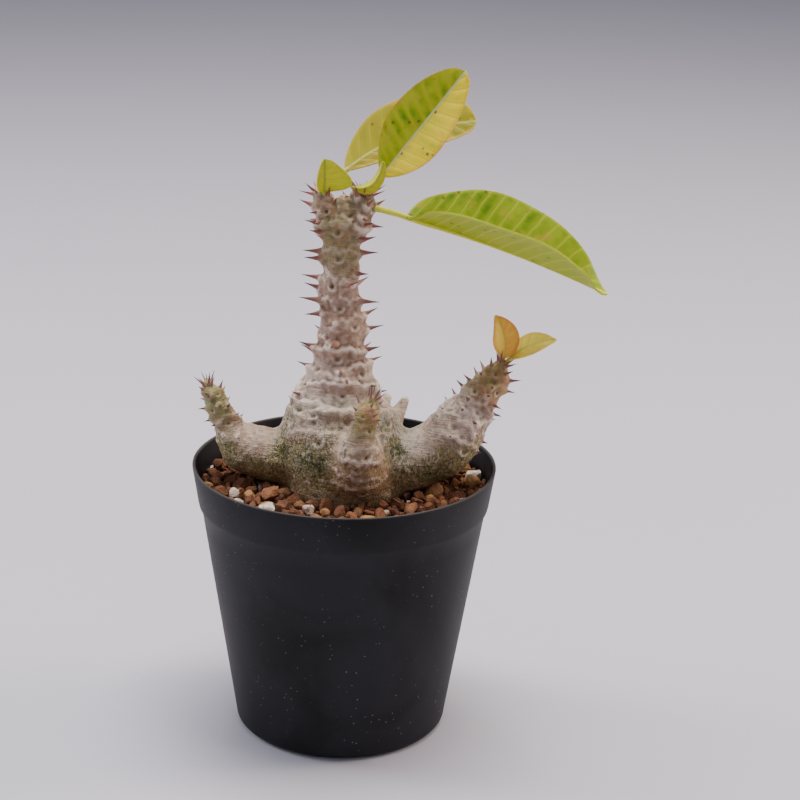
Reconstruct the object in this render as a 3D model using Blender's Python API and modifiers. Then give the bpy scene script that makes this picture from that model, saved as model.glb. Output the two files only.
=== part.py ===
"""A young pachypodium in a round plastic nursery pot.

Metres, +Z up.  The origin is the centre of the pot's underside, on the pot's axis.
The plant's widest side faces -Y: one branch reaches to -X, one to +X and one to -Y.

The plant's woody body grew as one piece, so it is one solid.  Each leaf, the pot, the bed of
growing medium and each of the larger grains lying on the bed is a solid of its own.
"""

import math
import random

import bmesh
import bpy
from mathutils import Matrix, Vector
from mathutils.bvhtree import BVHTree

MM = 0.001
NAME = "potted_pachypodium"

# Pot
POT_HEIGHT = 82 * MM
RIM_RADIUS = 45 * MM  # outside, at the lip
BASE_RADIUS = 31.5 * MM  # outside, at the ground
WALL = 1.0 * MM
FLOOR = 1.5 * MM
COLLAR_HEIGHT = 13.5 * MM
COLLAR_STEP = 0.7 * MM  # how far the collar stands out from the wall below it
BASE_CORNER = 2.5 * MM
DRAIN_RADIUS = 3.0 * MM
DRAIN_CIRCLE = 20 * MM
DRAIN_COUNT = 6
POT_SIDES = 48

# Growing medium
HEADSPACE = 7 * MM  # from the lip down to the bed
CLEARANCE = 0.3 * MM  # between solids that touch

# Woody body, heights counted from the bed
STEM_HEIGHT = 80.5 * MM  # bed to the fork
CAUDEX_RADIUS = 18.6 * MM
ROOT_DEPTH = 24 * MM
LEFT_WALL_GAP = 10 * MM  # from the pot's mouth to the left branch's elbow
RIGHT_WALL_GAP = 12.5 * MM
LEFT_RISE = 31 * MM  # height of the left branch's tip over the bed
RIGHT_RISE = 40 * MM
CROWN_RISE = 9 * MM  # from the fork to the crowns' tips
SPINE_LENGTH = 5.2 * MM
SPINE_RADIUS = 0.75 * MM
SPINE_STEP = 4.4 * MM  # along the stem, from one pair to the next
GOLDEN_ANGLE = math.radians(137.5)

# Leaves
LEAF_THICKNESS = 0.55 * MM
PETIOLE_HALF_WIDTH = 0.9 * MM

BED = POT_HEIGHT - HEADSPACE
MOUTH_RADIUS = RIM_RADIUS - WALL
LEFT_REACH = MOUTH_RADIUS - LEFT_WALL_GAP
RIGHT_REACH = MOUTH_RADIUS - RIGHT_WALL_GAP


# ---------------------------------------------------------------- scene and materials


def clear_scene():
    for obj in list(bpy.data.objects):
        bpy.data.objects.remove(obj, do_unlink=True)


def collection(name):
    made = bpy.data.collections.new(name)
    bpy.context.scene.collection.children.link(made)
    return made


def material(name, colour, roughness, metallic=0.0):
    made = bpy.data.materials.new(name)
    made.use_nodes = True
    shader = made.node_tree.nodes["Principled BSDF"]
    shader.inputs["Base Color"].default_value = (*colour, 1.0)
    shader.inputs["Roughness"].default_value = roughness
    shader.inputs["Metallic"].default_value = metallic
    return made


def new_object(name, mesh, home, finish=None):
    obj = bpy.data.objects.new(name, mesh)
    home.objects.link(obj)
    if finish:
        mesh.materials.append(finish)
    return obj


def as_helper(obj):
    obj.hide_render = True
    obj.display_type = "WIRE"
    return obj


def shade(mesh, sharp_degrees=40):
    mesh.shade_smooth()
    mesh.set_sharp_from_angle(angle=math.radians(sharp_degrees))


def add_boolean(obj, other, operation):
    step = obj.modifiers.new(f"{operation.lower()} {other.name}", "BOOLEAN")
    step.operation = operation
    step.object = other
    step.solver = "EXACT"


# ---------------------------------------------------------------- turned pieces


def outer_radius(height):
    """The pot's outside at a height: an even taper, plus the collar near the lip."""
    body_top = RIM_RADIUS - COLLAR_STEP
    body = BASE_RADIUS + (body_top - BASE_RADIUS) * height / POT_HEIGHT
    return body + (COLLAR_STEP if height > POT_HEIGHT - COLLAR_HEIGHT else 0.0)


def inner_radius(height):
    return outer_radius(height) - WALL


def turned(name, profile, home, finish):
    """A solid of revolution from (radius, height) points, listed down its outer side."""
    mesh = bpy.data.meshes.new(name)
    obj = new_object(name, mesh, home, finish)
    points = [(radius, 0.0, height) for radius, height in profile]
    mesh.from_pydata(points, [(i, i + 1) for i in range(len(points) - 1)], [])
    screw = obj.modifiers.new("turn", "SCREW")
    screw.steps = screw.render_steps = POT_SIDES
    screw.use_merge_vertices = True
    screw.merge_threshold = 0.00001
    screw.use_smooth_shade = True
    return obj


def corner_arc(radius, count):
    """Points of the pot's rounded bottom corner, from the wall round to the underside."""
    centre = (outer_radius(radius) - radius, radius)
    angles = [-math.pi / 2 * i / count for i in range(count + 1)]
    return [
        (centre[0] + radius * math.cos(a), centre[1] + radius * math.sin(a)) for a in angles
    ]


def build_pot(home, helpers, finish):
    ledge = POT_HEIGHT - COLLAR_HEIGHT
    ramp = 1.2 * MM  # the collar's step is drawn over this height
    lip = WALL / 3
    inside = [
        (0.0, FLOOR),
        (inner_radius(FLOOR) - WALL, FLOOR),
        (inner_radius(FLOOR + WALL), FLOOR + WALL),
        (inner_radius(ledge - ramp), ledge - ramp),
        (inner_radius(ledge + MM / 100), ledge),
        (inner_radius(POT_HEIGHT - lip), POT_HEIGHT - lip),
    ]
    edge = [(inner_radius(POT_HEIGHT) + lip, POT_HEIGHT), (RIM_RADIUS - lip, POT_HEIGHT)]
    outside = [
        (outer_radius(POT_HEIGHT - lip), POT_HEIGHT - lip),
        (outer_radius(ledge + MM / 100), ledge),
        (outer_radius(ledge - ramp), ledge - ramp),
        *corner_arc(BASE_CORNER, 3),
        (0.0, 0.0),
    ]
    pot = turned("pot", inside + edge + outside, home, finish)
    drains = bmesh.new()
    for i in range(DRAIN_COUNT):
        turn = Matrix.Rotation(2 * math.pi * i / DRAIN_COUNT, 4, "Z")
        place = turn @ Matrix.Translation((DRAIN_CIRCLE, 0, FLOOR / 2))
        bmesh.ops.create_cone(
            drains,
            cap_ends=True,
            segments=12,
            radius1=DRAIN_RADIUS,
            radius2=DRAIN_RADIUS,
            depth=FLOOR * 4,
            matrix=place,
        )
    mesh = bpy.data.meshes.new("drain_holes")
    drains.to_mesh(mesh)
    drains.free()
    cutter = as_helper(new_object("drain_holes", mesh, helpers))
    add_boolean(pot, cutter, "DIFFERENCE")
    return pot


def build_medium(home, finish, pockets):
    """The bed of growing medium: it fills the pot and is hollowed where the plant sits in it."""
    ledge = POT_HEIGHT - COLLAR_HEIGHT
    ramp = 1.2 * MM
    bottom = FLOOR + CLEARANCE
    shoulder = 1.0 * MM  # the bed's edge is a little lower against the wall

    def side(height):
        return inner_radius(height) - CLEARANCE

    profile = [
        (0.0, BED),
        (side(BED) - 2 * shoulder, BED),
        (side(BED - shoulder), BED - shoulder),
        (side(ledge + CLEARANCE), ledge + CLEARANCE),
        (side(ledge - ramp), ledge - ramp),
        (side(bottom + 2 * WALL), bottom + 2 * WALL),
        (side(bottom) - 2 * WALL, bottom),
        (0.0, bottom),
    ]
    medium = turned("growing_medium", profile, home, finish)
    for pocket in pockets:
        add_boolean(medium, pocket, "DIFFERENCE")
    return medium


# ---------------------------------------------------------------- woody body


def stem_stations():
    """(centre, radius) from the root's end up to the fork: a swollen base under a narrow stem."""
    shape = [  # share of the stem's height, share of the caudex's radius, lean to +X in mm
        (0.00, 0.980, 0.5),
        (0.08, 1.000, 0.3),
        (0.17, 0.965, -0.6),
        (0.255, 0.850, -1.6),
        (0.325, 0.690, -2.1),
        (0.39, 0.560, -1.8),
        (0.455, 0.440, -1.7),
        (0.52, 0.375, -1.6),
        (0.62, 0.330, -1.6),
        (0.71, 0.285, -1.9),
        (0.82, 0.268, -2.0),
        (0.93, 0.275, -2.0),
        (1.00, 0.290, -2.0),
    ]
    root = [(1.0, 0.22), (0.65, 0.55), (0.3, 0.85)]  # share of the depth, share of the radius
    stations = [
        (Vector((MM, MM, BED - ROOT_DEPTH * depth)), CAUDEX_RADIUS * width)
        for depth, width in root
    ]
    for height, width, lean in shape:
        centre = Vector((lean * MM, MM * (1 - height), BED + STEM_HEIGHT * height))
        stations.append((centre, CAUDEX_RADIUS * width))
    return stations


def branch_stations(reach, rise, depth, shape):
    """(centre, radius) of a side branch: shares of its reach and of its rise over the bed."""
    return [
        (Vector((reach * out, depth, BED + rise * up)), width * MM) for out, up, width in shape
    ]


def left_branch():
    shape = [  # share of the reach, share of the rise, radius in mm
        (0.10, 0.32, 9.5),
        (0.52, 0.29, 8.8),
        (0.72, 0.31, 8.5),
        (0.87, 0.35, 7.8),
        (0.97, 0.45, 5.8),
        (1.01, 0.57, 3.9),
        (1.06, 0.70, 3.6),
        (1.115, 0.82, 2.9),
        (1.165, 0.93, 2.3),
        (1.18, 1.00, 1.7),
    ]
    return branch_stations(-LEFT_REACH, LEFT_RISE, 1.0 * MM, shape)


def right_branch():
    shape = [
        (0.10, 0.20, 9.5),
        (0.48, 0.17, 9.2),
        (0.755, 0.26, 8.9),
        (0.89, 0.32, 9.0),
        (1.00, 0.42, 8.8),
        (1.12, 0.545, 7.1),
        (1.21, 0.67, 5.5),
        (1.33, 0.82, 4.4),
        (1.40, 0.92, 3.5),
        (1.45, 1.00, 2.5),
    ]
    return branch_stations(RIGHT_REACH, RIGHT_RISE, -1.5 * MM, shape)


def from_bed(x, y, height):
    return Vector((x * MM, y * MM, BED + height * MM))


def from_fork(x, y, height):
    return Vector((x * MM, y * MM, BED + STEM_HEIGHT + height * MM))


def front_branch():
    points = [
        (4.0, -6.0, 6.0, 9.0),
        (4.4, -11.0, 8.5, 9.0),
        (4.6, -14.5, 12.5, 8.4),
        (5.0, -18.0, 18.0, 6.4),
        (5.2, -19.5, 22.5, 5.0),
        (6.2, -20.0, 27.0, 3.4),
        (7.0, -20.0, 31.0, 2.3),
        (7.5, -20.0, 35.0, 1.2),
    ]
    return [(from_bed(x, y, z), radius * MM) for x, y, z, radius in points]


def back_stub(tip_x, foot_x):
    points = [
        (foot_x - 3.0, 4.0, 10.0, 4.0),
        (foot_x, 6.0, 14.5, 3.4),
        ((foot_x + tip_x) / 2, 8.0, 19.0, 2.4),
        (tip_x, 9.5, 24.0, 1.2),
    ]
    return [(from_bed(x, y, z), radius * MM) for x, y, z, radius in points]


def crown(side_points):
    """A short crown over the fork: (x, share of the rise, radius), starting inside the stem."""
    return [
        (from_fork(x, 0.0, 0.0) + Vector((0, 0, CROWN_RISE * up)), radius * MM)
        for x, up, radius in side_points
    ]


def left_crown():
    return crown([(-2.4, -0.5, 4.4), (-4.6, 0.0, 4.2), (-6.9, 0.5, 3.6), (-8.0, 1.0, 2.9)])


def right_crown():
    return crown([(-1.2, -0.5, 4.4), (1.4, 0.0, 4.6), (3.3, 0.5, 4.4), (4.3, 1.0, 3.5)])


def limb(name, stations, helpers, sides=12, grow=0.0):
    """A tapered limb: a round tube on a curve through the stations, made into a closed mesh."""
    curve = bpy.data.curves.new(name, "CURVE")
    curve.dimensions = "3D"
    curve.bevel_depth = 1.0
    curve.bevel_resolution = sides // 2 - 2
    curve.use_fill_caps = True
    spline = curve.splines.new("POLY")
    spline.points.add(len(stations) - 1)
    ends = (stations[0][0] - stations[1][0], stations[-1][0] - stations[-2][0])
    for i, (centre, radius) in enumerate(stations):
        if i == 0:
            centre = centre + ends[0].normalized() * grow
        if i == len(stations) - 1:
            centre = centre + ends[1].normalized() * grow
        spline.points[i].co = (*centre, 1.0)
        spline.points[i].radius = radius + grow
    guide = bpy.data.objects.new(name + "_line", curve)
    helpers.objects.link(guide)
    graph = bpy.context.evaluated_depsgraph_get()
    mesh = bpy.data.meshes.new_from_object(guide.evaluated_get(graph))
    bpy.data.objects.remove(guide, do_unlink=True)
    edit = bmesh.new()
    edit.from_mesh(mesh)
    bmesh.ops.remove_doubles(edit, verts=edit.verts, dist=0.000001)
    bmesh.ops.recalc_face_normals(edit, faces=edit.faces)
    edit.to_mesh(mesh)
    edit.free()
    mesh.name = name
    return as_helper(new_object(name, mesh, helpers))


def along(stations, distance):
    """Centre, direction and radius at a distance along a limb."""
    for (start, start_radius), (end, end_radius) in zip(stations, stations[1:]):
        length = (end - start).length
        if distance <= length:
            share = distance / length
            centre = start.lerp(end, share)
            return centre, (end - start).normalized(), start_radius + (end_radius - start_radius) * share
        distance -= length
    return stations[-1][0], (stations[-1][0] - stations[-2][0]).normalized(), stations[-1][1]


def limb_length(stations):
    return sum((b[0] - a[0]).length for a, b in zip(stations, stations[1:]))


def add_spine(edit, foot, direction, length):
    """A five-sided cone whose foot is sunk into the limb."""
    sunk = SPINE_RADIUS * 1.4
    turn = direction.to_track_quat("Z", "Y").to_matrix().to_4x4()
    middle = foot + direction * (length - sunk) / 2
    bmesh.ops.create_cone(
        edit,
        cap_ends=True,
        segments=5,
        radius1=SPINE_RADIUS,
        radius2=SPINE_RADIUS * 0.12,
        depth=length + sunk,
        matrix=Matrix.Translation(middle) @ turn,
    )


def spine_pairs(edits, stations, first, last, step, phase, length, lift=0.45):
    """Pairs of spines up a limb, each pair a golden angle round from the one below it.

    The two of a pair go into different meshes, because their feet may cross.
    """
    splay = math.radians(24)
    distance = first
    turn = phase
    while distance <= last:
        centre, direction, radius = along(stations, distance)
        side = direction.cross(Vector((0, 1, 0))).normalized()
        front = side.cross(direction).normalized()
        for edit, part in zip(edits, (-1, 1)):
            angle = turn + part * splay
            out = side * math.cos(angle) + front * math.sin(angle)
            foot = centre + out * radius * 0.97
            add_spine(edit, foot, (out + direction * lift).normalized(), length)
        distance += step
        turn += GOLDEN_ANGLE


def crown_spines(edits, stations, start_degrees, end_degrees, count, length):
    """A fan of spines round a crown's tip, on the side that carries no leaf."""
    centre, radius = stations[-1]
    for i in range(count):
        angle = math.radians(start_degrees + (end_degrees - start_degrees) * i / (count - 1))
        out = Vector((math.cos(angle), math.sin(angle), 0.0))
        foot = centre + out * radius * 0.9 - Vector((0, 0, 1.3 * MM))
        add_spine(edits[i % 2], foot, (out + Vector((0, 0, 0.8))).normalized(), length)


def build_spines(helpers):
    """All the spines, in two meshes, so that no spine crosses another in its own mesh."""
    edits = (bmesh.new(), bmesh.new())
    stem = stem_stations()
    lowest = ROOT_DEPTH + STEM_HEIGHT * 0.40
    highest = ROOT_DEPTH + STEM_HEIGHT * 0.97
    spine_pairs(edits, stem, lowest, highest, SPINE_STEP, math.radians(150), SPINE_LENGTH)
    left, right, front = left_branch(), right_branch(), front_branch()
    reach = limb_length(left)
    spine_pairs(edits, left, reach - 15 * MM, reach - 1.2 * MM, 3.2 * MM, 0.4, SPINE_LENGTH * 0.6)
    reach = limb_length(right)
    spine_pairs(edits, right, reach - 19 * MM, reach - 1.2 * MM, 2.9 * MM, 1.0, SPINE_LENGTH * 0.85)
    reach = limb_length(front)
    spine_pairs(edits, front, reach - 9 * MM, reach - 0.8 * MM, 3.6 * MM, 0.2, SPINE_LENGTH * 0.6)
    crown_spines(edits, left_crown(), 115, 265, 5, SPINE_LENGTH * 0.75)
    crown_spines(edits, right_crown(), -26, 64, 3, SPINE_LENGTH * 0.75)
    made = []
    for edit in edits:
        mesh = bpy.data.meshes.new("spines")
        edit.to_mesh(mesh)
        edit.free()
        made.append(as_helper(new_object("spines", mesh, helpers)))
    return made


def build_body(home, helpers, finish):
    """The woody body, and the grown copies of its limbs that hollow out its pocket in the bed."""
    limbs = {
        "stem": (stem_stations(), 16),
        "branch_left": (left_branch(), 12),
        "branch_right": (right_branch(), 12),
        "branch_front": (front_branch(), 12),
        "stub_tall": (back_stub(17.5, 13.0), 8),
        "stub_short": (back_stub(11.5, 9.0), 8),
        "crown_left": (left_crown(), 10),
        "crown_right": (right_crown(), 10),
    }
    stations, sides = limbs.pop("stem")
    body = limb("caudex_stem", stations, helpers, sides)
    helpers.objects.unlink(body)
    home.objects.link(body)
    body.hide_render = False
    body.display_type = "TEXTURED"
    body.data.materials.append(finish)
    pockets = [limb("pocket_stem", stations, helpers, sides, grow=CLEARANCE)]
    for name, (stations, sides) in limbs.items():
        add_boolean(body, limb(name, stations, helpers, sides), "UNION")
        if name.startswith("branch"):
            pockets.append(limb("pocket_" + name, stations, helpers, sides, grow=CLEARANCE))
    for spines in build_spines(helpers):
        add_boolean(body, spines, "UNION")
    return body, pockets


# ---------------------------------------------------------------- leaves


def leaf(name, line, facing, half_width, fold_degrees, home, finish, petiole, fullness, rows=14):
    """A leaf blade on its petiole: a sheet folded up along its midrib, then given a thickness.

    The midrib is a quadratic curve through line, which is (base, bend, tip).  facing is the
    direction that the upper side looks in, and each half is turned up from it by the fold.
    A fullness over 1 moves the widest place towards the tip.
    """
    base, bend, tip = line
    edit = bmesh.new()
    columns = 4
    bmesh.ops.create_grid(edit, x_segments=rows, y_segments=columns, size=0.5)
    fold = math.radians(fold_degrees)
    for point in edit.verts:
        s = point.co.x + 0.5
        t = point.co.y * 2
        centre = base * (1 - s) ** 2 + bend * 2 * s * (1 - s) + tip * s**2
        direction = ((bend - base) * (1 - s) + (tip - bend) * s).normalized()
        side = direction.cross(facing).normalized()
        normal = side.cross(direction).normalized()
        blade = max(0.0, (s - petiole) / (1 - petiole))
        width = half_width * max(0.0, math.sin(math.pi * blade**fullness)) ** 0.75
        foot = PETIOLE_HALF_WIDTH * (1 - s) ** 0.5
        width = max(width, foot, PETIOLE_HALF_WIDTH * 0.3)
        open_fold = fold * min(1.0, width / (half_width * 0.5))
        lift = math.sin(open_fold) * (1 - 0.15 * abs(t))
        point.co = centre + side * t * width * math.cos(open_fold) + normal * abs(t) * width * lift
    bmesh.ops.recalc_face_normals(edit, faces=edit.faces)
    mesh = bpy.data.meshes.new(name)
    edit.to_mesh(mesh)
    edit.free()
    obj = new_object(name, mesh, home, finish)
    sheet = obj.modifiers.new("thickness", "SOLIDIFY")
    sheet.thickness = LEAF_THICKNESS
    sheet.offset = 0.0
    sheet.use_even_offset = False
    shade(mesh, 60)
    return obj


def build_leaves(home, green, yellow, orange):
    left_tip = left_crown()[-1][0]
    right_tip, right_radius = right_crown()[-1]
    flank_centre, flank_radius = right_crown()[-2]
    branch_tip = right_branch()[-1][0]
    gap = CLEARANCE + LEAF_THICKNESS / 2

    def beside(point, x, y, z):
        return point + Vector((x, y, z)) * MM

    flank = flank_centre + Vector((flank_radius + gap, 0, -1.0 * MM))
    line = (flank, beside(flank, 27.5, -2.0, -6.5), beside(flank, 66.5, 0.0, -23.5))
    facing = Vector((0.33, -0.20, 0.93))
    leaf("leaf_right_large", line, facing, 16 * MM, 53, home, green, 0.12, 1.0, rows=18)

    top = right_tip + Vector((0, 0, gap))
    line = (
        beside(top, 1.2, 0.6, 0.4),
        beside(top, 11.8, -1.5, 12.5),
        beside(top, 27.2, -6.0, 35.0),
    )
    leaf("leaf_top_front", line, Vector((-0.35, -0.85, 0.3)), 9.8 * MM, 18, home, green, 0.16, 1.1)

    line = (
        beside(top, -0.8, -2.0, 0.4),
        beside(top, 0.2, -4.0, 4.0),
        beside(top, 6.2, -4.6, 7.5),
    )
    facing = Vector((-0.6, -0.6, 0.55))
    leaf("leaf_young_right", line, facing, 2.4 * MM, 35, home, yellow, 0.25, 1.0, rows=8)

    top = left_tip + Vector((0, 0, gap))
    line = (
        beside(top, 1.0, 1.8, 0.4),
        beside(top, 17.0, 12.5, 14.5),
        beside(top, 43.5, 14.0, 17.0),
    )
    facing = Vector((-0.30, -0.80, 0.50))
    leaf("leaf_top_back", line, facing, 10.5 * MM, 14, home, yellow, 0.16, 1.15)

    line = (
        beside(top, 0.2, -1.2, 0.4),
        beside(top, 1.0, -3.2, 4.0),
        beside(top, 3.5, -4.4, 8.5),
    )
    facing = Vector((0.75, -0.65, 0.10))
    leaf("leaf_young_left", line, facing, 4.2 * MM, 25, home, yellow, 0.2, 1.0, rows=8)

    top = branch_tip + Vector((0, 0, gap))
    line = (
        beside(top, -0.4, 0.0, 0.4),
        beside(top, 1.6, -0.4, 6.0),
        beside(top, -3.0, -1.0, 13.5),
    )
    facing = Vector((0.25, -0.95, 0.10))
    leaf("leaf_branch_upright", line, facing, 4.0 * MM, 20, home, orange, 0.1, 1.0, rows=8)

    line = (
        beside(top, 2.0, -0.2, 0.4),
        beside(top, 6.5, -0.8, 5.5),
        beside(top, 15.0, -1.0, 6.6),
    )
    facing = Vector((-0.35, -0.45, 0.82))
    leaf("leaf_branch_level", line, facing, 3.2 * MM, 22, home, yellow, 0.1, 1.0, rows=8)


# ---------------------------------------------------------------- grains on the bed


def grain_mesh(name, radii, seed):
    """An angular grain: a coarse ball with its corners pushed in and out, then stretched."""
    chance = random.Random(seed)
    edit = bmesh.new()
    bmesh.ops.create_icosphere(edit, subdivisions=1, radius=1.0)
    spin = Matrix.Rotation(chance.uniform(0, 2 * math.pi), 3, "Z")
    tilt = Matrix.Rotation(chance.uniform(-0.5, 0.5), 3, "X")
    for point in edit.verts:
        point.co *= chance.uniform(0.84, 1.0)
        point.co = spin @ tilt @ Vector(a * b for a, b in zip(point.co, radii))
    mesh = bpy.data.meshes.new(name)
    edit.to_mesh(mesh)
    edit.free()
    return mesh


def free_place(wanted, radius, rise, taken, plant):
    """The place nearest to the wanted one where a grain clears the wall, the plant and the others."""
    limit = inner_radius(BED) - CLEARANCE
    for i in range(6000):
        step = 0.3 * MM * math.sqrt(i)
        angle = i * GOLDEN_ANGLE
        x, y = wanted[0] + step * math.cos(angle), wanted[1] + step * math.sin(angle)
        if math.hypot(x, y) + radius > limit:
            continue
        if any(math.hypot(x - u, y - v) < radius + r + CLEARANCE for u, v, r in taken):
            continue
        if plant.find_nearest(Vector((x, y, BED + rise)))[3] < radius + CLEARANCE:
            continue
        return x, y
    raise ValueError("the bed has no room for this grain")


def build_grains(home, body, finishes):
    """The larger grains on the bed: first those with a place of their own, then a scatter."""
    chosen = [  # kind, x, y and radius in mm
        ("pumice", -31.5, -14.0, 2.6),
        ("pumice", -29.5, -22.0, 2.8),
        ("pumice", -21.0, -24.5, 3.2),
        ("pumice", -9.5, -24.5, 2.5),
        ("pumice", 12.7, -23.0, 1.5),
        ("akadama", -20.5, -14.5, 3.9),
        ("akadama", -39.0, 10.5, 2.6),
        ("akadama", -37.5, 1.5, 2.3),
        ("akadama", -26.5, -16.0, 2.2),
        ("akadama", -15.0, -27.5, 2.6),
        ("akadama", 8.0, -24.0, 1.9),
        ("akadama", 3.0, -27.5, 2.1),
        ("akadama", 26.5, -15.0, 2.5),
        ("akadama", 29.0, -20.0, 2.2),
        ("akadama", 33.0, -16.5, 2.6),
        ("gravel", -12.3, -19.5, 1.8),
        ("gravel", -5.2, -25.0, 1.9),
        ("gravel", -40.0, -6.5, 1.9),
        ("gravel", 19.6, -23.0, 2.1),
        ("gravel", 24.0, -25.5, 1.9),
        ("gravel", 37.5, 1.5, 2.4),
        ("gravel", 40.5, -5.0, 1.6),
    ]
    kinds = ["akadama", "gravel", "akadama", "pumice", "akadama"]
    chance = random.Random(7)
    for i in range(14):
        turn = 24 + 8 * i if i < 6 else 40 + 8 * i  # none lies straight behind the stem
        angle = math.radians(turn)
        share = 0.66 + 0.24 * (i % 3) / 2
        place = share * MOUTH_RADIUS / MM
        chosen.append(
            (kinds[i % 5], place * math.cos(angle), place * math.sin(angle), chance.uniform(1.9, 3.0))
        )
    plant = BVHTree.FromObject(body, bpy.context.evaluated_depsgraph_get())
    taken = []
    counts = {}
    for kind, x, y, radius in chosen:
        counts[kind] = counts.get(kind, 0) + 1
        name = f"{kind}_grain_{counts[kind]:02d}"
        radii = (radius * MM, radius * MM * 0.82, radius * MM * 0.75)
        mesh = grain_mesh(name, radii, len(taken))
        low = min(point.co.z for point in mesh.vertices)
        high = max(point.co.z for point in mesh.vertices)
        rise = CLEARANCE - low
        x, y = free_place((x * MM, y * MM), radius * MM, (high - low) / 2, taken, plant)
        taken.append((x, y, radius * MM))
        grain = new_object(name, mesh, home, finishes[kind])
        grain.location = (x, y, BED + rise)


# ---------------------------------------------------------------- the whole object


def main():
    clear_scene()
    home = collection(NAME)
    helpers = collection("cutters")
    helpers.hide_render = True
    black_plastic = material("black_pot_plastic", (0.016, 0.017, 0.020), 0.42)
    medium = material("growing_medium", (0.16, 0.07, 0.035), 0.95)
    bark = material("pale_olive_bark", (0.33, 0.27, 0.19), 0.7)
    green = material("leaf_green", (0.20, 0.36, 0.03), 0.5)
    yellow = material("leaf_yellow_green", (0.47, 0.50, 0.06), 0.5)
    orange = material("leaf_orange", (0.72, 0.34, 0.05), 0.5)
    finishes = {
        "akadama": material("fired_clay_grain", (0.32, 0.13, 0.06), 0.95),
        "pumice": material("pumice_grain", (0.75, 0.70, 0.66), 0.95),
        "gravel": material("tan_gravel_grain", (0.52, 0.33, 0.16), 0.85),
    }
    build_pot(home, helpers, black_plastic)
    body, pockets = build_body(home, helpers, bark)
    build_medium(home, medium, pockets)
    build_leaves(home, green, yellow, orange)
    bpy.context.view_layer.update()
    build_grains(home, body, finishes)


main()
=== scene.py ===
# %% [markdown]
# # A young pachypodium in a nursery pot
#
# A pachypodium is a succulent: it keeps water in a swollen base, the caudex, and guards it with
# spines.  This one stands in a thin black plastic pot filled with gritty medium.  The sizes come
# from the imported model, which is loaded first and stays as it is; every new piece is modelled
# around it, in the same frame, in metres.

# %% Load the frame
import math
import random

import bpy
import numpy as np
from mathutils import Euler, Matrix, Vector
from mathutils.bvhtree import BVHTree


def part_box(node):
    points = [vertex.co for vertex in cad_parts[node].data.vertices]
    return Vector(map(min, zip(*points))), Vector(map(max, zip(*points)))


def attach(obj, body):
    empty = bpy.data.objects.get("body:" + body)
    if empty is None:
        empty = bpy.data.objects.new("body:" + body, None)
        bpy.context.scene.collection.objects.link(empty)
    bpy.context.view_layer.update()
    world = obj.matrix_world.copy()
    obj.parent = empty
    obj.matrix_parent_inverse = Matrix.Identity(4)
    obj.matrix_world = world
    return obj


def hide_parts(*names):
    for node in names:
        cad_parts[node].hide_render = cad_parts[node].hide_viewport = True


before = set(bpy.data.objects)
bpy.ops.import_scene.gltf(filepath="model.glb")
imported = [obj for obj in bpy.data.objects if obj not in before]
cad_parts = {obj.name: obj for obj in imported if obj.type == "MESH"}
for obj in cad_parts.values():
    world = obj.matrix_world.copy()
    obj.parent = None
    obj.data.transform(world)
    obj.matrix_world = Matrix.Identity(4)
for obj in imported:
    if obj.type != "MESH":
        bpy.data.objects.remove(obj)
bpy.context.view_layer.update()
MM = 0.001
pot_low, pot_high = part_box("pot")
HEIGHT = pot_high[2]
LIP = (pot_high[1] - pot_low[1]) / 2
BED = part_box("growing_medium")[1][2]
print(f"pot {HEIGHT / MM:.1f} mm tall, {LIP / MM:.1f} mm to its lip, bed at {BED / MM:.1f} mm")

# %% [markdown]
# ## Camera, floor and light
#
# A long lens about 0.6 m away looks down on the plant by almost 19 degrees, and is rolled by a
# degree and a half.  The floor is plain and pale.  Two large soft lights from the sides and one
# from above keep the shadows faint, as in a light tent.

# %% Camera
LOOK_DOWN = math.radians(18.774)
ROLL = math.radians(1.494)
STANDPOINT = (0.015958, -0.568079, 0.294885)
bpy.ops.object.camera_add(location=STANDPOINT)
camera = bpy.context.object
aim = Matrix.Rotation(math.pi / 2 - LOOK_DOWN, 3, "X") @ Matrix.Rotation(ROLL, 3, "Z")
camera.rotation_euler = aim.to_euler()
camera.data.lens = 92.08
camera.data.sensor_width = 36
bpy.context.scene.camera = camera
print("camera looks along", [round(a, 3) for a in aim @ Vector((0, 0, -1))])


# %% [markdown]
# Three small helpers serve every material.  The first turns a colour written as it looks on a
# screen, in sRGB hex, into the linear numbers that Blender counts in.  The second adds one node
# with its settings and its inputs; an input is given as a value or as another node's socket.
# The third starts a material, on the object's own coordinates.


# %% Colour and node helpers
def linear(code):
    channels = [int(code[i : i + 2], 16) / 255 for i in (1, 3, 5)]
    return (*(c / 12.92 if c <= 0.04045 else ((c + 0.055) / 1.055) ** 2.4 for c in channels), 1.0)


def node(tree, kind, inputs=None, **settings):
    made = tree.nodes.new(kind)
    for name, value in settings.items():
        setattr(made, name, value)
    for socket, value in (inputs or {}).items():
        if isinstance(value, bpy.types.NodeSocket):
            tree.links.new(value, made.inputs[socket])
        else:
            made.inputs[socket].default_value = value
    return made


def new_material(name, *kept):
    """An empty material, its shader, and its first values: the place and the kept numbers."""
    made = bpy.data.materials.new(name)
    made.use_nodes = True
    tree = made.node_tree
    value = {"place": node(tree, "ShaderNodeTexCoord").outputs["Object"]}
    for number in kept:
        value[number] = node(tree, "ShaderNodeAttribute", attribute_name=number).outputs["Fac"]
    return made, tree.nodes["Principled BSDF"], value


print("mid grey", round(linear("#808080")[0], 3))

# %% [markdown]
# A finish is then a recipe: a list of steps, each with a name for its result, what it does, and
# its inputs.  An input is a number, a hex colour or the name of an earlier result.  A noise or a
# cell pattern takes its scale and its detail; a range takes two limits and what they turn into;
# a mix takes its share, the colour below and the colour on top.


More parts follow.
